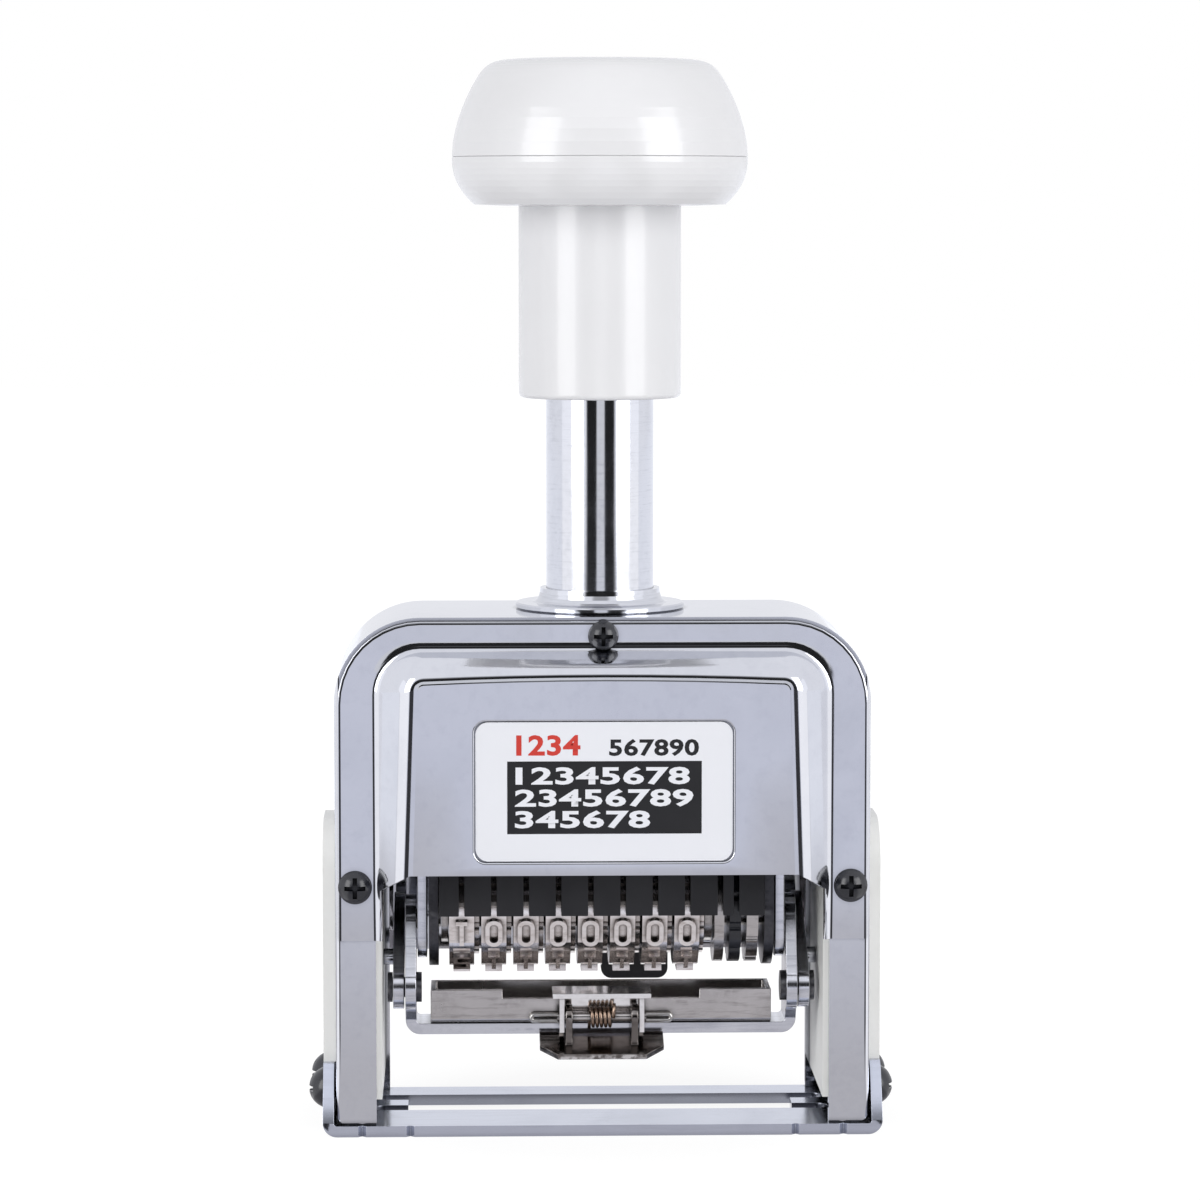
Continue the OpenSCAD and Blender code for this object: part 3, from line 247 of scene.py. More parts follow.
def metal(name, colour, dull, rough=0.1, rough_more=0.1, stretch=(1, 1, 1), scale=900.0, lines=0.4,
          depth=0.01, edge_wear_and_glint=None, shade_and_dirt=0.0, reach=0.9, slot_wall_shade=0.0):
    material, tree, skin = start_material(name)
    skin.inputs["Metallic"].default_value = 1.0
    marks = place_group(tree, lines_group, Scale=scale, Stretch=stretch)
    smudges = place_group(tree, smudge_group, Scale=smudge_scale)["Mask"]
    edges = place_group(tree, wear_and_glint_group, Scale=wear_scale)["Mask"]
    shade = blend_colour(tree, colour, dull, marks["Mask"], lines)
    shade = blend_colour(tree, shade, dull, smudges, smudge_amount)
    # Edges take the edge colour: wear, and on the dark clip lever a painted glint
    shade = blend_colour(tree, shade, edge_wear_and_glint or colour, edges, wear_and_glint_amount)
    # Painted shade darkens the hollows, and stands for grime in them as well
    if shade_and_dirt > 0:
        hollows = place_group(tree, hollow_group, Reach=reach * MM)["Mask"]
        shade = blend_colour(tree, shade, darker(dull, hollow_shade_tone), hollows, shade_and_dirt)
    # Painted shade on the upright walls of the slot
    if slot_wall_shade > 0:
        walls = place_group(tree, slot_wall_shade_group)["Mask"]
        shade = blend_colour(tree, shade, darker(dull, slot_wall_shade_tone), walls, slot_wall_shade)
    rough_map = spread(tree, smudges, 0.0, 1.0, rough, rough + rough_more)
    cover_skin(tree, skin, shade, rough_map, marks["Height"], depth, line_strength)
    return material


# %% The plastic recipe
grip_scale, mottle_amount = 45.0, 0.5
hollow_reach, hollow_tone = 0.8 * MM, 0.2
skin_strength, coat_rough = 0.4, 0.08


def plastic(name, colour, mottled, rough=0.25, rough_more=0.1, coat=0.0, depth=0.01, scale=1500.0,
            shine=0.5, hollow=0.0):
    material, tree, skin = start_material(name)
    mould = place_group(tree, mould_group, Scale=scale)
    smudges = place_group(tree, smudge_group, Scale=grip_scale)["Mask"]
    shade = blend_colour(tree, colour, mottled, mould["Mottle"], mottle_amount)
    skin.inputs["Specular IOR Level"].default_value = shine
    # Painted shade: in hollows the colour darkens and the shine falls away
    if hollow > 0:
        hollows = place_group(tree, hollow_group, Reach=hollow_reach)["Mask"]
        shade = blend_colour(tree, shade, darker(colour, hollow_tone), hollows, hollow)
        shine_map = spread(tree, hollows, 0.0, 1.0, shine, shine * (1 - hollow))
        feed(tree, skin.inputs["Specular IOR Level"], shine_map)
    rough_map = spread(tree, smudges, 0.0, 1.0, rough, rough + rough_more)
    cover_skin(tree, skin, shade, rough_map, mould["Height"], depth, skin_strength)
    skin.inputs["Coat Weight"].default_value = coat
    skin.inputs["Coat Roughness"].default_value = coat_rough
    return material


# %% [markdown]
# ## Chrome and zinc
# The frame and its covers are chromed and almost a mirror, so they get little roughness and few lines.
# The plunger's tube was turned on a lathe, so its lines run round it. The base and the bent sheet parts
# are zinc plated: a little softer, with brush lines along their length. Chrome and zinc are darkened
# in their hollows with painted shade. The slot in the base is punched, and its upright walls are
# darkened with painted shade.

# %% Chrome and zinc
# Chrome, zinc and nickel are darkened in their hollows with painted shade, which on the covers darkens the
# seam along the frame
chrome = metal("chrome plate", (0.66, 0.67, 0.71), (0.54, 0.55, 0.60), rough=0.05, rough_more=0.06,
               scale=500.0, lines=0.25, depth=0.002, shade_and_dirt=0.8)
turned_chrome = metal("turned chrome", (0.66, 0.67, 0.71), (0.50, 0.51, 0.55), rough=0.07, rough_more=0.07,
                      stretch=(0.3, 0.3, 6), scale=700.0, lines=0.5, depth=0.004)
zinc = metal("bright zinc plate", (0.74, 0.75, 0.80), (0.44, 0.45, 0.50), rough=0.12, rough_more=0.12,
             stretch=(0.06, 1, 1), scale=1400.0, lines=0.6, depth=0.008, shade_and_dirt=0.85, reach=1.1)
# The base: painted shade in its hollows and on the slot's upright walls
slotted_zinc = metal("zinc plate with punched slot", (0.59, 0.62, 0.71), (0.50, 0.52, 0.60), rough=0.14,
                     rough_more=0.12, stretch=(0.06, 1, 1), scale=1400.0, lines=0.5, depth=0.006, shade_and_dirt=0.35,
                     slot_wall_shade=0.9)
print("plated finishes", [finish.name for finish in (chrome, turned_chrome, zinc, slotted_zinc)])

# %% [markdown]
# ## Nickel, steel and springs
# The small working parts are nickel plated, which is warmer and duller than chrome. The number wheels
# are engraved, and their colour is painted lighter than the other nickel. Their hollows get the most
# painted shade, which stands for ink and oil between the figures as well, and their edges are brightened,
# partly wear and partly a painted glint. The clip's bracket is painted lighter too. The clip's lever
# faces down and mirrors its own shade, so it is darker.

# %% Nickel, steel and springs
nickel = metal("satin nickel", (0.60, 0.575, 0.565), (0.30, 0.28, 0.27), rough=0.18, rough_more=0.14,
               stretch=(0.12, 1, 1), scale=1500.0, lines=0.7, depth=0.008, shade_and_dirt=0.8, reach=1.0)
# Lit copy of nickel: the clip's bracket is painted lighter than the satin nickel
lit_nickel = metal("lit bright nickel", (0.95, 0.93, 0.92), (0.66, 0.62, 0.60), stretch=(0.3, 1, 1),
                      scale=1500.0, lines=0.35, depth=0.006, edge_wear_and_glint=(1.0, 0.99, 0.98), shade_and_dirt=0.85, reach=0.6)
# The lever's shaded nickel gets near-white painted glints along its edges
shaded_nickel = metal("shaded nickel", (0.20, 0.18, 0.17), (0.07, 0.06, 0.055), stretch=(0.3, 1, 1),
                      scale=1500.0, lines=0.6, depth=0.006, edge_wear_and_glint=(0.98, 0.96, 0.95), shade_and_dirt=0.8, reach=0.8)
# The wheels' nickel is painted lighter than the satin nickel, with painted shade in its engraving
lit_engraved_nickel = metal("lit engraved nickel", (0.95, 0.90, 0.88), (0.50, 0.43, 0.39), rough=0.12,
                        rough_more=0.14, stretch=(0.3, 1, 1), scale=1600.0, lines=0.6, depth=0.012,
                        edge_wear_and_glint=(1.0, 0.98, 0.97), shade_and_dirt=1.0, reach=0.9)
dark_steel = metal("dark steel", (0.09, 0.09, 0.10), (0.035, 0.035, 0.04), rough=0.28, rough_more=0.2,
                   scale=1200.0, lines=0.6, depth=0.008, edge_wear_and_glint=(0.26, 0.26, 0.27))
spring_wire = metal("spring wire", (0.50, 0.49, 0.48), (0.30, 0.29, 0.28), rough=0.2, rough_more=0.15,
                    scale=1500.0, lines=0.5, depth=0.006)
bronze_wire = metal("bronze spring wire", (0.30, 0.22, 0.17), (0.12, 0.08, 0.06), rough=0.22,
                    rough_more=0.15, scale=1500.0, lines=0.6, depth=0.006)
working_metals = (nickel, lit_nickel, shaded_nickel, lit_engraved_nickel, dark_steel, spring_wire, bronze_wire)
print("working metals", [finish.name for finish in working_metals])

# %% [markdown]
# ## White handle, nylon and black parts
# The knob and its neck are glossy white mouldings with a thin clear skin. The strips and liners are
# natural nylon, a little yellow and dull. The screws are black enamel, and their recesses get painted
# shade: both their colour and their shine fall away in hollows.

# %% Plastics and enamel
white = plastic("white moulding", (0.80, 0.80, 0.82), (0.77, 0.77, 0.79), rough=0.20, rough_more=0.08,
                coat=0.35, depth=0.004)
nylon = plastic("natural nylon", (0.90, 0.90, 0.875), (0.85, 0.85, 0.815), rough=0.38, rough_more=0.15)
# The screws' recesses are darkened with painted shade
black_enamel = plastic("black enamel", (0.012, 0.013, 0.018), (0.020, 0.021, 0.028), rough=0.17,
                       rough_more=0.12, depth=0.006, scale=2200.0, shine=0.6, hollow=0.97)
dull_black = plastic("dull black", (0.022, 0.022, 0.026), (0.040, 0.040, 0.046), rough=0.45,
                     rough_more=0.2, depth=0.012, scale=2600.0, shine=0.25)
black_moulding = plastic("black moulding", (0.010, 0.010, 0.012), (0.018, 0.018, 0.022), rough=0.22,
                         rough_more=0.2, coat=0.15, depth=0.008, shine=0.4)
mouldings = (white, nylon, black_enamel, dull_black, black_moulding)
print("mouldings and enamel", [finish.name for finish in mouldings])

# %% The label's enamel and its two printing inks
label_enamel = plastic("label enamel", (0.80, 0.81, 0.86), (0.78, 0.79, 0.835), rough=0.16,
                       rough_more=0.06, coat=0.5, depth=0.002)
black_ink = plastic("black print", (0.012, 0.012, 0.014), (0.022, 0.022, 0.025), rough=0.4,
                    coat=0.1, depth=0.002, scale=2600.0, shine=0.3)
red_ink = plastic("red print", (0.62, 0.05, 0.035), (0.54, 0.04, 0.03), rough=0.4,
                  coat=0.1, depth=0.002, scale=2600.0, shine=0.3)
print("label finishes", [finish.name for finish in (label_enamel, black_ink, red_ink)])

# %% [markdown]
# ## The solids that stay
# Most solids of the machine already have the right shape, so they only need their finish, and some a
# softened edge. Nothing real has a knife-sharp corner: a small bevel catches the light along every edge.
# The corners could be cut into the mesh by hand, but modifiers work on what is shown and leave the
# solid's own points alone.

# %% Which solid gets which finish
wheels = [f"number_wheel_{number}" for number in range(1, 9)]
finished = [
    (chrome, ["frame_yoke", "front_cover", "rear_cover"]),
    (turned_chrome, ["collar", "plunger_tube"]),
    (slotted_zinc, ["base_plate"]),
    (zinc, ["guide_pins", "plunger_yoke", "pad_bracket", "pad_links"]),
    (nickel, ["collar_nut", "spring_hangers", "handle_nut", "tube_plug", "yoke_bolt", "case_bridge",
              "case_rods", "detent_comb", "wheel_shaft", "shaft_spacers", "index_disc", "bracket_pivots",
              "pawl_swing", "feed_pawl", "pad_tray", "clip_pin"]),
    (lit_nickel, ["clip_bracket"]),
    (shaded_nickel, ["clip_lever"]),
    (lit_engraved_nickel, wheels),
    (dark_steel, ["case_plates", "link_pivots"]),
    (spring_wire, ["return_springs", "clip_wire"]),
    (bronze_wire, ["clip_spring"]),
    (white, ["knob_top", "knob_base", "handle_neck"]),
    (nylon, ["leg_liners", "side_strips", "stop_sleeve", "yoke_sliders"]),
    (black_enamel, ["base_screws", "cover_screws", "repeat_dial"]),
    (dull_black, ["comb_plate"]),
    (black_moulding, ["lock_button"]),
    (label_enamel, ["label_plate"]),
]
for finish, solids in finished:
    for solid in solids:
        nodes[solid].data.materials.clear()
        nodes[solid].data.materials.append(finish)
left_plain = set(nodes) - {solid for finish, solids in finished for solid in solids}
print("solids without a finish", sorted(left_plain))


# %% A bevel for the shown solids
def soften(name, width=0.14, segments=3):
    solid = nodes[name]
    mesh = solid.data
    for attribute in ("custom_normal", "sharp_edge"):
        if attribute in mesh.attributes:
            mesh.attributes.remove(mesh.attributes[attribute])
    for face in mesh.polygons:
        face.use_smooth = True
    weld = solid.modifiers.new("join", "WELD")
    weld.merge_threshold = same_point
    flat = solid.modifiers.new("flat faces", "DECIMATE")
    flat.decimate_type = "DISSOLVE"
    flat.angle_limit = math.radians(0.5)
    bevel = solid.modifiers.new("soft edges", "BEVEL")
    bevel.width = width * MM
    bevel.segments = segments
    bevel.limit_method = "ANGLE"
    bevel.angle_limit = math.radians(32)
    bevel.use_clamp_overlap = True
    normals = solid.modifiers.new("even light", "WEIGHTED_NORMAL")
    normals.weight = 80
    normals.keep_sharp = False


# %% Soften the bent and punched pieces, the thick frame most of all
soften("frame_yoke", 0.5)
bent_pieces = ["base_plate", "pad_bracket", "pad_tray", "pad_links", "clip_bracket", "clip_lever",
               "plunger_yoke", "case_plates", "comb_plate"]
for name in bent_pieces:
    soften(name)
print("softened solids", len(bent_pieces) + 1)

# %% [markdown]
# ## Pressed covers
# The two covers are pressed from sheet: a flat band along the frame, then a tight hollow bend, a slope, and
# a crisp bend onto a flat panel. Cutting and bevelling a block would give edges of one even width. Instead,
# each cover is woven from rows of points, because a row can follow the true bend of the sheet. Every row is
# an arch, open at the bottom, and the rows go from the sheet's rear edge over the band to the panel.

# %% One arch of points
corner_steps = 10


# The row begins and ends at bottom. It widens by flare from the top down to step_z, and rise crowns its top.
def arch_row(half, top, radius, y, bottom, step_z, flare=0.0, rise=0.0):
    turns = [math.pi / 2 * step / corner_steps for step in range(corner_steps + 1)]
    left = [(-half, bottom), (-half, step_z)]
    left += [(-half + radius * (1 - math.cos(turn)), top - radius * (1 - math.sin(turn))) for turn in turns]
    left += [(-(half - radius) * part, top) for part in (0.75, 0.5, 0.25)]
    line = left + [(0.0, top)] + [(-x, z) for x, z in reversed(left)]
    height = top - step_z
    return [Vector((x * (1 + flare * (top - z) / height), y, z + rise * (1 - (x / half) ** 2))) * MM
            for x, z in line]


print("points in an arch", len(arch_row(half=30, top=70, radius=6, y=0, bottom=20, step_z=36)))


# %% One closed row around an opening with round corners
opening_steps = 6


def opening_row(low, high, radius, y, grow):
    row = []
    for corner, (side_x, side_z) in enumerate(((1, 1), (-1, 1), (-1, -1), (1, -1))):
        centre_x = (high[0] if side_x > 0 else low[0]) - side_x * radius
        centre_z = (high[1] if side_z > 0 else low[1]) - side_z * radius
        for step in range(opening_steps + 1):
            turn = math.pi / 2 * (corner + step / opening_steps)
            reach = radius + grow
            x, z = centre_x + reach * math.cos(turn), centre_z + reach * math.sin(turn)
            row.append(Vector((x, y, z)) * MM)
    return row


# %% [markdown]
# A pressed sheet turns into its slope along a short curve and leaves it along another. Along the slope,
# part runs from 0 at the foot to 1 at the panel, and the two bends reach a little beyond both ends. The
# helpers below give the depth at each part, and the small faults of pressing that a mirror finish shows.

# %% The depth of a pressed slope: straight, with a bend at each end
def limit(value):
    return min(max(value, 0.0), 1.0)


def press_depth(part, low_bend, high_bend):
    if part < -low_bend:
        return 0.0
    if part < low_bend:
        return (part + low_bend) ** 2 / (4 * low_bend)
    if part > 1 - high_bend:
        return 1 - (1 + high_bend - part) ** 2 / (4 * high_bend)
    return part


print("depth halfway", press_depth(0.5, 0.1, 0.1), "and at the panel", press_depth(1.1, 0.1, 0.1))


# %% The sides bend more tightly than the top: where they are at the same depth
def side_part(depth, side_bend):
    if depth < 1 - side_bend:
        return depth
    return 1 + side_bend - math.sqrt(4 * side_bend * (1 - depth))


# %% Pressing also draws the band in a little above the panel
slope_start = -0.4


def draw_in(row, part, low_bend, top, radius, amount):
    if part < -low_bend:
        held = ((part - slope_start) / (low_bend + slope_start)) ** 2
    else:
        held = (1 - part) / (1 + low_bend)
    for point in row:
        near_top = limit((point.z / MM - top + radius) / radius)
        point.y += amount * MM * max(held, 0.0) * near_top ** 2


# %% The panel's upper edge is pressed a hair deeper than the panel
sunk_height, sunk_corner, sunk_fade = 4.0, 1.0, 2.0


def sink_top(row, panel, amount):
    for point in row:
        near_top = limit(point.z / MM - (panel.top - sunk_height))
        off_corner = limit((panel.half - sunk_corner - abs(point.x) / MM) / sunk_fade)
        point.y += amount * MM * near_top * off_corner


# %% Weave rows into a surface
def weave(mesh, rows, closed=False):
    made = [[mesh.verts.new(point) for point in row] for row in rows]
    for first, second in zip(made, made[1:]):
        count = len(first)
        for k in range(count if closed else count - 1):
            corners = [first[k], first[(k + 1) % count], second[(k + 1) % count], second[k]]
            sides = zip(corners, corners[1:] + corners[:1])
            if all((a.co - b.co).length > same_point for a, b in sides):
                mesh.faces.new(corners)
    return made


def keep_piece(name, mesh, finish, body, stands_for=()):
    shape = bpy.data.meshes.new(name)
    mesh.to_mesh(shape)
    mesh.free()
    for face in shape.polygons:
        face.use_smooth = True
    shape.materials.append(finish)
    piece = bpy.data.objects.new(name, shape)
    bpy.context.scene.collection.objects.link(piece)
    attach(piece, body)
    if stands_for:
        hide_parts(*stands_for)
    return piece


# %% The band: from the sheet's rear edge, over its rolled cut edge, onto its face
cover_radius = 12.0
rolled_edge = ((0.0, 0.3), (0.03, 0.12), (0.10, 0.062), (0.36, 0.016), (0.42, 0.0), (0.5, 0.0))


def band_rows(cover, outline, back):
    foot = cover.foot
    rows = []
    for inset, below in ((0.0, abs(back - foot.face)), *rolled_edge):
        rows.append(arch_row(outline.x / MM - inset, outline.z / MM - inset, cover_radius - inset,
                             foot.face - cover.out * below, cover.edge_bottom, foot.bottom))
    return rows


# %% The slope: from the band through both bends onto the panel
drawn_in = 0.12
band_steps, bend_steps = 6, 8


def between(cover, key, part):
    low, high = getattr(cover.foot, key), getattr(cover.panel, key)
    return low + (high - low) * part


def slope_rows(cover, flat):
    foot, panel = cover.foot, cover.panel
    through_bend = [2 * step / bend_steps - 1 for step in range(bend_steps + 1)]
    parts = [slope_start + (-cover.low_bend - slope_start) * step / band_steps for step in range(band_steps)]
    parts += [cover.low_bend * turned for turned in through_bend]
    parts += [1 + cover.high_bend * turned for turned in through_bend]
    rows = []
    for part in parts:
        on_ear = part <= cover.low_bend
        bottom = foot.bottom if on_ear else between(cover, "bottom", part)
        depth = press_depth(part, cover.low_bend, cover.high_bend)
        across = part if part < cover.low_bend else side_part(depth, cover.side_bend)
        top, radius = between(cover, "top", part), between(cover, "radius", part)
        y = foot.face + (flat - foot.face) * depth
        lowest = cover.edge_bottom if on_ear else bottom
        row = arch_row(between(cover, "half", across), top, radius, y, lowest, bottom,
                       panel.flare * limit(part), panel.rise * limit(part))
        crest = limit((part - 1 + cover.high_bend) / (2 * cover.high_bend))
        sink_top(row, panel, -cover.out * cover.rim[0][1] * crest)
        draw_in(row, part, cover.low_bend, top, radius, cover.out * drawn_in)
        rows.append(row)
    return rows


# %% The panel's rim: a few narrow rows in which the sunk edge rises to the flat panel
smallest_radius = 0.2


def rim_rows(cover, flat, bottom, step_z):
    panel = cover.panel
    half = between(cover, "half", 1 + cover.side_bend)
    top, radius = between(cover, "top", 1 + cover.high_bend), between(cover, "radius", 1 + cover.high_bend)
    rows = []
    for inset, sunk in cover.rim:
        rim_radius = max(radius - inset, smallest_radius)
        row = arch_row(half - inset, top - inset, rim_radius, flat, bottom, step_z, panel.flare, panel.rise)
        sink_top(row, panel, -cover.out * sunk)
        rows.append(row)
    return rows


# %% The panel itself is filled in around its opening
def fill_panel(mesh, cover, flat, last_row):
    opening = cover.opening
    rows = [opening_row(opening.low, opening.high, opening.radius, flat - cover.out * depth, grow)
            for grow, depth in opening.steps]
    hole = weave(mesh, rows, True)
    edges = []
    for row in (last_row, hole[0]):
        for a, b in zip(row, row[1:] + row[:1]):
            edges.append(mesh.edges.get((a, b)) or mesh.edges.new((a, b)))
    bmesh.ops.triangle_fill(mesh, use_beauty=True, edges=edges)
    if opening.closed:
        mesh.faces.new(hole[-1])


# %% The whole cover
sheet_thickness = 0.5


def pressed_cover(name, node, cover):
    low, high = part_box(node)
    back, flat = (high.y / MM, low.y / MM) if cover.out < 0 else (low.y / MM, high.y / MM)
    rows = band_rows(cover, high, back) + slope_rows(cover, flat)
    rows += rim_rows(cover, flat, rows[-1][0].z / MM, rows[-1][1].z / MM)
    mesh = bmesh.new()
    made = weave(mesh, rows)
    fill_panel(mesh, cover, flat, made[-1][1:-1])
    loose = [v for v in mesh.verts if not v.link_faces]
    bmesh.ops.delete(mesh, geom=loose, context="VERTS")
    bmesh.ops.remove_doubles(mesh, verts=mesh.verts, dist=same_point)
    bmesh.ops.recalc_face_normals(mesh, faces=mesh.faces)
    outermost = max(mesh.faces, key=lambda f: f.calc_center_median().y * cover.out)
    if outermost.normal.y * cover.out < 0:
        bmesh.ops.reverse_faces(mesh, faces=mesh.faces)
    piece = keep_piece(name, mesh, chrome, "frame", [node])
    sheet = piece.modifiers.new("sheet", "SOLIDIFY")
    sheet.thickness = sheet_thickness * MM
    sheet.offset = -1
    sheet.use_even_offset = True
    normals = piece.modifiers.new("even light", "WEIGHTED_NORMAL")
    normals.keep_sharp = False
    print(name, "faces", len(piece.data.polygons))


# %% [markdown]
# Each cover now needs only its own measures. The foot is where the slope leaves the band, the panel is
# where it ends, and the three bends say how much of the slope they take up at its foot, at the panel's
# top and at the panel's sides. The rim and the opening are lists of steps inward and down.

# %% The front cover has a recess that the label plate lies in
label_gap = 0.15
ear_trim = 1.7
label_low, label_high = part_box("label_plate")
label_half = label_high.x / MM + label_gap
label_bottom = label_low.z / MM - label_gap
label_top = label_high.z / MM + label_gap
pressed_cover("pressed_front", "front_cover", SimpleNamespace(
    out=-1, edge_bottom=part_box("front_cover")[0].z / MM + ear_trim,
    foot=SimpleNamespace(half=32.7, top=71.0, radius=6.4, bottom=36.2, face=-16.9),
    panel=SimpleNamespace(half=28.25, top=67.9, radius=2.6, bottom=38.2, flare=0.03, rise=0.6),
    low_bend=0.13, high_bend=0.35, side_bend=0.26,
    rim=((0.29, 0.05), (0.35, 0.037), (0.43, 0.013), (0.49, 0.0)),
    opening=SimpleNamespace(
        low=(-label_half, label_bottom), high=(label_half, label_top), radius=1.6, closed=True,
        steps=((0.3, 0.0), (0.14, 0.03), (0.04, 0.12), (0.0, 0.3), (0.0, 0.8)))))

# %% The rear cover has an opening for the lock button
rear_bottom = 22.0
pressed_cover("pressed_rear", "rear_cover", SimpleNamespace(
    out=1, edge_bottom=rear_bottom,
    foot=SimpleNamespace(half=33.3, top=70.5, radius=6.4, bottom=rear_bottom, face=12.6),
    panel=SimpleNamespace(half=31.2, top=66.5, radius=2.4, bottom=rear_bottom, flare=0.0, rise=0.3),
    low_bend=0.2, high_bend=0.12, side_bend=0.12, rim=((0.5, 0.0),),
    opening=SimpleNamespace(
        low=(2.5, 23.8), high=(9.1, 31.2), radius=0.5, closed=False,
        steps=((0.15, 0.0), (0.04, 0.04), (0.0, 0.15), (0.0, 0.5)))))

# %% [markdown]
# ## Clip spring
# The little spring on the clip's pin is wound wire. A screw modifier could sweep it, but its straight
# ends would be pieces of their own. Here a round profile is carried along the helix and on along both
# ends: one lies against the clip's bracket, the other presses on the lever.

# %% Wire along a line of points
wire_sides = 10


def wire_piece(name, line, radius, finish, body, stands_for):
    turns = [2 * math.pi * side / wire_sides for side in range(wire_sides)]
    across = Vector((0.31, 0.22, 0.93))    # any direction that the wire itself never takes
    rings = []
    for k, point in enumerate(line):
        ahead = (line[min(k + 1, len(line) - 1)] - line[max(k - 1, 0)]).normalized()
        across = (across - ahead * across.dot(ahead)).normalized()
        other = ahead.cross(across)
        rings.append([point + (across * math.cos(t) + other * math.sin(t)) * radius * MM for t in turns])
    mesh = bmesh.new()
    made = weave(mesh, rings, True)
    mesh.faces.new(made[0][::-1])
    mesh.faces.new(made[-1])
    bmesh.ops.recalc_face_normals(mesh, faces=mesh.faces)
    keep_piece(name, mesh, finish, body, stands_for)


# %% The coil and its two ends
pin_low, pin_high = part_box("clip_pin")
pin_y, pin_z = (pin_low.y + pin_high.y) / 2 / MM, (pin_low.z + pin_high.z) / 2 / MM
coil_radius, coil_wire, coil_half = 1.35, 0.26, 1.7
coil_turns, points_per_turn = 5.5, 28
steps = int(coil_turns * points_per_turn)
coil = []
for step in range(steps + 1):
    turn = 2 * math.pi * coil_turns * step / steps
    x = -coil_half + 2 * coil_half * step / steps
    y, z = pin_y + coil_radius * math.cos(turn), pin_z + coil_radius * math.sin(turn)
    coil.append(Vector((x, y, z)) * MM)
bracket_end = coil[0] + Vector((-0.1, 0.25, -2.0)) * MM
lever_end = coil[-1] + Vector((0.1, 0.3, 2.2)) * MM
wire_piece("wound_spring", [bracket_end] + coil + [lever_end], coil_wire, bronze_wire, "pad_carrier",
           ["clip_spring"])
print("coil points", len(coil))

# %% [markdown]
# ## Label print
# The label carries nothing but plain figures: a black field with three lines of white figures, and one
# line in red and black above it. A picture on the plate would blur from close by, so each group of
# figures is set in the built-in typeface, turned into a flat mesh and fitted into its own box.

# %% Where the print lies
print_lift, field_lift = 0.02, 0.01
label_face = label_low.y / MM
label_middle = (label_bottom + label_top) / 2


def on_label(x, z, lift):
    return Vector((x, label_face - lift, label_middle + z)) * MM


# %% A line of figures, fitted into a box on the label
def print_line(name, figures, low, high, ink, lift=print_lift):
    line = bpy.data.curves.new(name, "FONT")
    line.body = figures
    line.offset = 0.03
    line.resolution_u = 3
    line.space_character = 1.05
    holder = bpy.data.objects.new(name, line)
    bpy.context.scene.collection.objects.link(holder)
    shape = bpy.data.meshes.new_from_object(holder)
    bpy.data.objects.remove(holder)
    xs = [v.co.x for v in shape.vertices]
    zs = [v.co.y for v in shape.vertices]
    wide = (high[0] - low[0]) / (max(xs) - min(xs))
    tall = (high[1] - low[1]) / (max(zs) - min(zs))
    for v in shape.vertices:
        v.co = on_label(low[0] + (v.co.x - min(xs)) * wide, low[1] + (v.co.y - min(zs)) * tall, lift)
    shape.materials.clear()
    shape.materials.append(ink)
    piece = bpy.data.objects.new(name, shape)
    bpy.context.scene.collection.objects.link(piece)
    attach(piece, "frame")


# %% The black field and the figures
left, right, below, above = -13.9, 14.0, -6.1, 4.4
field = bmesh.new()
corners = [(left, below), (right, below), (right, above), (left, above)]
field.faces.new([field.verts.new(on_label(x, z, field_lift)) for x, z in corners])
keep_piece("label_field", field, black_ink, "frame")
print_line("label_red", "1234", (-12.6, 5.2), (-3.4, 8.2), red_ink, field_lift)
print_line("label_dark", "567890", (0.7, 5.1), (13.6, 7.6), black_ink, field_lift)
print_line("label_row_1", "12345678", (-12.7, 1.0), (12.3, 3.6), label_enamel)
print_line("label_row_2", "23456789", (-12.8, -2.2), (12.8, 0.4), label_enamel)
print_line("label_row_3", "345678", (-12.8, -5.3), (6.6, -2.7), label_enamel)
print("label in mm", round(2 * label_half, 1), "by", round(label_top - label_bottom, 1))

# %% [markdown]
# ## Studio
# Bright chrome shows mostly what stands around it. Real cards and walls around the machine would get in
# the way of other views, so the surroundings are painted instead, and only mirrored rays see them: dark
# cards and pale walls on the floor's own material, and a room in the world. Two soft boxes left and right
# of the camera give the light. Looked at directly, the floor is plain white with a soft shadow.

# %% Floor: how bright it is to the camera
shadow_zone, shadow_glow = (30 * MM, 85 * MM), 0.80
lit_floor, seen_floor = (0.80, 0.80, 0.805), (0.95, 0.95, 0.96)
floor_mesh = bpy.data.meshes.new("floor")
side, near, far = 1.6, -0.85, 2.5
floor_corners = [(-side, near, 0), (side, near, 0), (side, far, 0), (-side, far, 0)]
floor_mesh.from_pydata(floor_corners, [], [(0, 1, 2, 3)])
floor = bpy.data.objects.new("floor", floor_mesh)
bpy.context.scene.collection.objects.link(floor)
floor_material, tree, skin = start_material("pale floor")
floor_mesh.materials.append(floor_material)
rays = add_node(tree, "ShaderNodeLightPath").outputs
spot = add_node(tree, "ShaderNodeNewGeometry").outputs["Position"]
away = add_node(tree, "ShaderNodeVectorMath", {0: spot}, operation="LENGTH").outputs["Value"]
feed(tree, skin.inputs["Base Color"], blend_colour(tree, lit_floor, seen_floor, rays["Is Camera Ray"]))
feed(tree, skin.inputs["Roughness"], 0.7)
feed(tree, skin.inputs["Specular IOR Level"], 0.0)
past_shadow = spread(tree, away, *shadow_zone, shadow_glow, 1.0)
glow = maths(tree, "MULTIPLY", rays["Is Camera Ray"], past_shadow)
print("floor in m", 2 * side, "by", far - near)

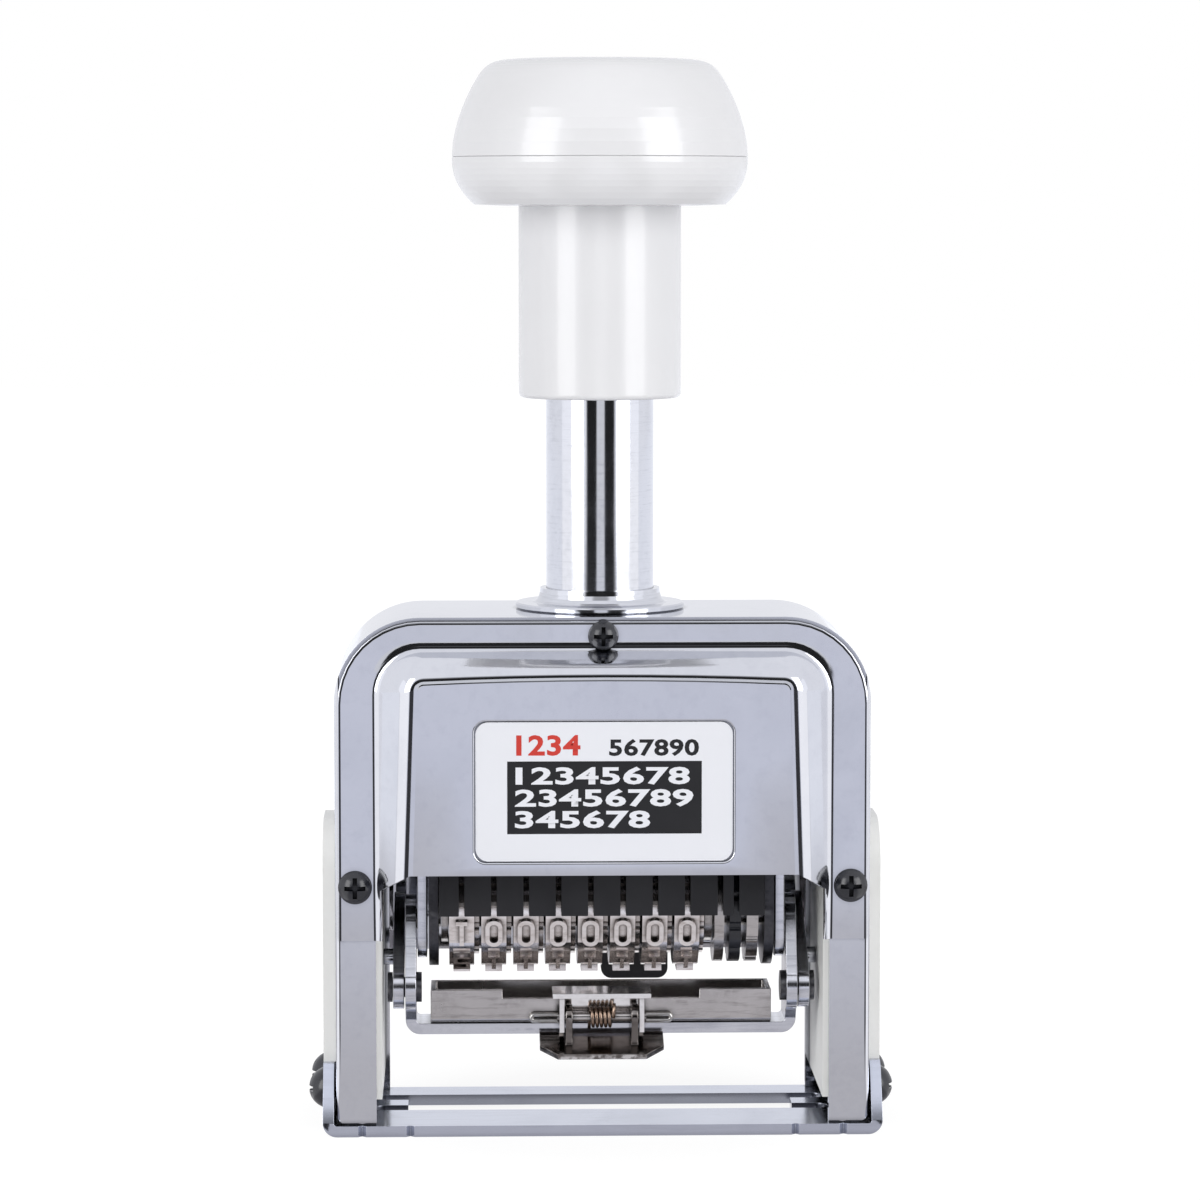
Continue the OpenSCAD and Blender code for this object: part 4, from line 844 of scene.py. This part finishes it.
# %% Floor: dark cards left and right in front, seen only as a mirror image
# Each card starts beside the machine and widens towards the camera, so its sides are slopes of X over Y.
machine_half, card_start = 45 * MM, (-90 * MM, -50 * MM)
card_inner, card_outer = (0.09, 0.12), (0.54, 0.64)
axes = split_axes(tree, spot)
past_machine = maths(tree, "SUBTRACT", maths(tree, "ABSOLUTE", axes["X"]), machine_half)
in_front = maths(tree, "MULTIPLY", axes["Y"], -1.0)
aside = maths(tree, "DIVIDE", past_machine, in_front)
card = maths(tree, "MULTIPLY", spread(tree, aside, *card_inner), spread(tree, aside, *card_outer, 1.0, 0.0))
cards = maths(tree, "MULTIPLY", card, spread(tree, axes["Y"], *card_start, 1.0, 0.0))
print("cards start", round(-card_start[1] / MM), "mm in front of the machine's middle")

# %% Floor: the brightness of its mirror image in front, behind and at the sides
close_tone, front_tone, back_tone = (0.62, 0.61, 0.64), (0.78, 0.80, 0.91), (1.06, 1.08, 1.15)
side_tone, card_tone, camera_tone = (1.25, 1.25, 1.28), (0.02, 0.02, 0.025), (1.08, 1.08, 1.08)
front_range, back_range, away_range, side_range = (0.06, 0.30), (-0.02, 0.02), (0.15, 0.35), (0.60, 0.75)
mirror_share = 0.96
before = blend_colour(tree, close_tone, front_tone, spread(tree, in_front, *front_range))
behind = maths(tree, "MULTIPLY", spread(tree, axes["Y"], *back_range), spread(tree, away, *away_range))
middle = blend_colour(tree, before, back_tone, behind)
sides = blend_colour(tree, middle, side_tone, spread(tree, aside, *side_range))
mirrored = blend_colour(tree, sides, card_tone, cards)
paint = add_node(tree, "ShaderNodeEmission", {
    "Color": blend_colour(tree, camera_tone, mirrored, rays["Is Glossy Ray"])})
painted = maths(tree, "ADD", glow, maths(tree, "MULTIPLY", rays["Is Glossy Ray"], mirror_share))
mixed = add_node(tree, "ShaderNodeMixShader", {
    0: painted, 1: skin.outputs["BSDF"], 2: paint.outputs["Emission"]})
feed(tree, tree.nodes["Material Output"].inputs["Surface"], mixed.outputs["Shader"])
print("floor nodes", len(tree.nodes))


# %% Soft boxes left and right of the camera
lit_point = Vector((0, 0, 90)) * MM


def soft_box(name, turn, distance, height, size, power):
    data = bpy.data.lights.new(name, "AREA")
    data.shape = "RECTANGLE"
    data.size, data.size_y = size
    data.energy = power
    light = bpy.data.objects.new(name, data)
    bpy.context.scene.collection.objects.link(light)
    angle = math.radians(turn)
    light.location = (math.sin(angle) * distance, -math.cos(angle) * distance, height)
    light.rotation_euler = (lit_point - light.location).to_track_quat("-Z", "Y").to_euler()


soft_box("left box", turn=-50, distance=1.2, height=0.42, size=(0.62, 1.0), power=6.3)
soft_box("right box", turn=50, distance=1.2, height=0.42, size=(0.70, 1.0), power=7.0)
print("soft boxes", len(bpy.data.lights))

# %% [markdown]
# ## The room
# The world plays the room. Polished metal sees a pale room with a dark gap straight in front, which gives
# the tubes their dark stripe, brighter walls at both sides and a pale ceiling. Dull surfaces get an even
# light, and the camera itself sees plain white.

# %% How bright each direction of the room is in a mirror
# A direction has a part along X, Y and Z from -1 to 1. Each range is where one face of the room begins.
gap_range, far_range, ceiling_range = (-0.88, -0.85), (0.3, 0.9), (0.31, 0.6)
low_front_range, horizon_range = (0.13, 0.16), (0.01, 0.03)
side_wall_range, side_wall_end = (0.80, 0.88), (0.0, 0.15)
world = bpy.data.worlds.new("studio")
bpy.context.scene.world = world
bpy.context.scene.view_settings.view_transform = "Standard"
world.use_nodes = True
tree = world.node_tree
tree.nodes.clear()
way = split_axes(tree, add_node(tree, "ShaderNodeTexCoord").outputs["Generated"])
sideways = maths(tree, "ABSOLUTE", way["X"])
dark_gap = spread(tree, way["Y"], *gap_range, 0.02, 1.0)
far_wall = spread(tree, way["Y"], *far_range, 1.05, 0.92)
ceiling = spread(tree, way["Z"], *ceiling_range, 0.0, 0.95)
low_front = maths(tree, "MULTIPLY", spread(tree, sideways, *low_front_range, 0.85, 0.0),
                  spread(tree, way["Z"], *horizon_range, 1.0, 0.0))
side_walls = maths(tree, "MULTIPLY", spread(tree, sideways, *side_wall_range, 0.0, 1.25),
                   spread(tree, way["Y"], *side_wall_end, 1.0, 0.0))
room = maths(tree, "MULTIPLY", dark_gap, far_wall)
for brighter in (ceiling, low_front, side_walls):
    room = maths(tree, "MAXIMUM", room, brighter)
print("room nodes", len(tree.nodes))


# %% What each kind of ray sees of the room
def background(tint, strength):
    made = add_node(tree, "ShaderNodeBackground", {"Color": (*tint, 1), "Strength": strength})
    return made.outputs["Background"]


def either(mask, without, within):
    return add_node(tree, "ShaderNodeMixShader", {0: mask, 1: without, 2: within}).outputs["Shader"]


rays = add_node(tree, "ShaderNodeLightPath").outputs
even_light = background((1, 1, 1), 0.55)
in_mirror = background((0.975, 0.985, 1.03), room)
plain_white = background((1, 1, 1), 1.0)
unseen = either(rays["Is Glossy Ray"], even_light, in_mirror)
seen = either(rays["Is Camera Ray"], unseen, plain_white)
add_node(tree, "ShaderNodeOutputWorld", {"Surface": seen})
print("world", world.name)
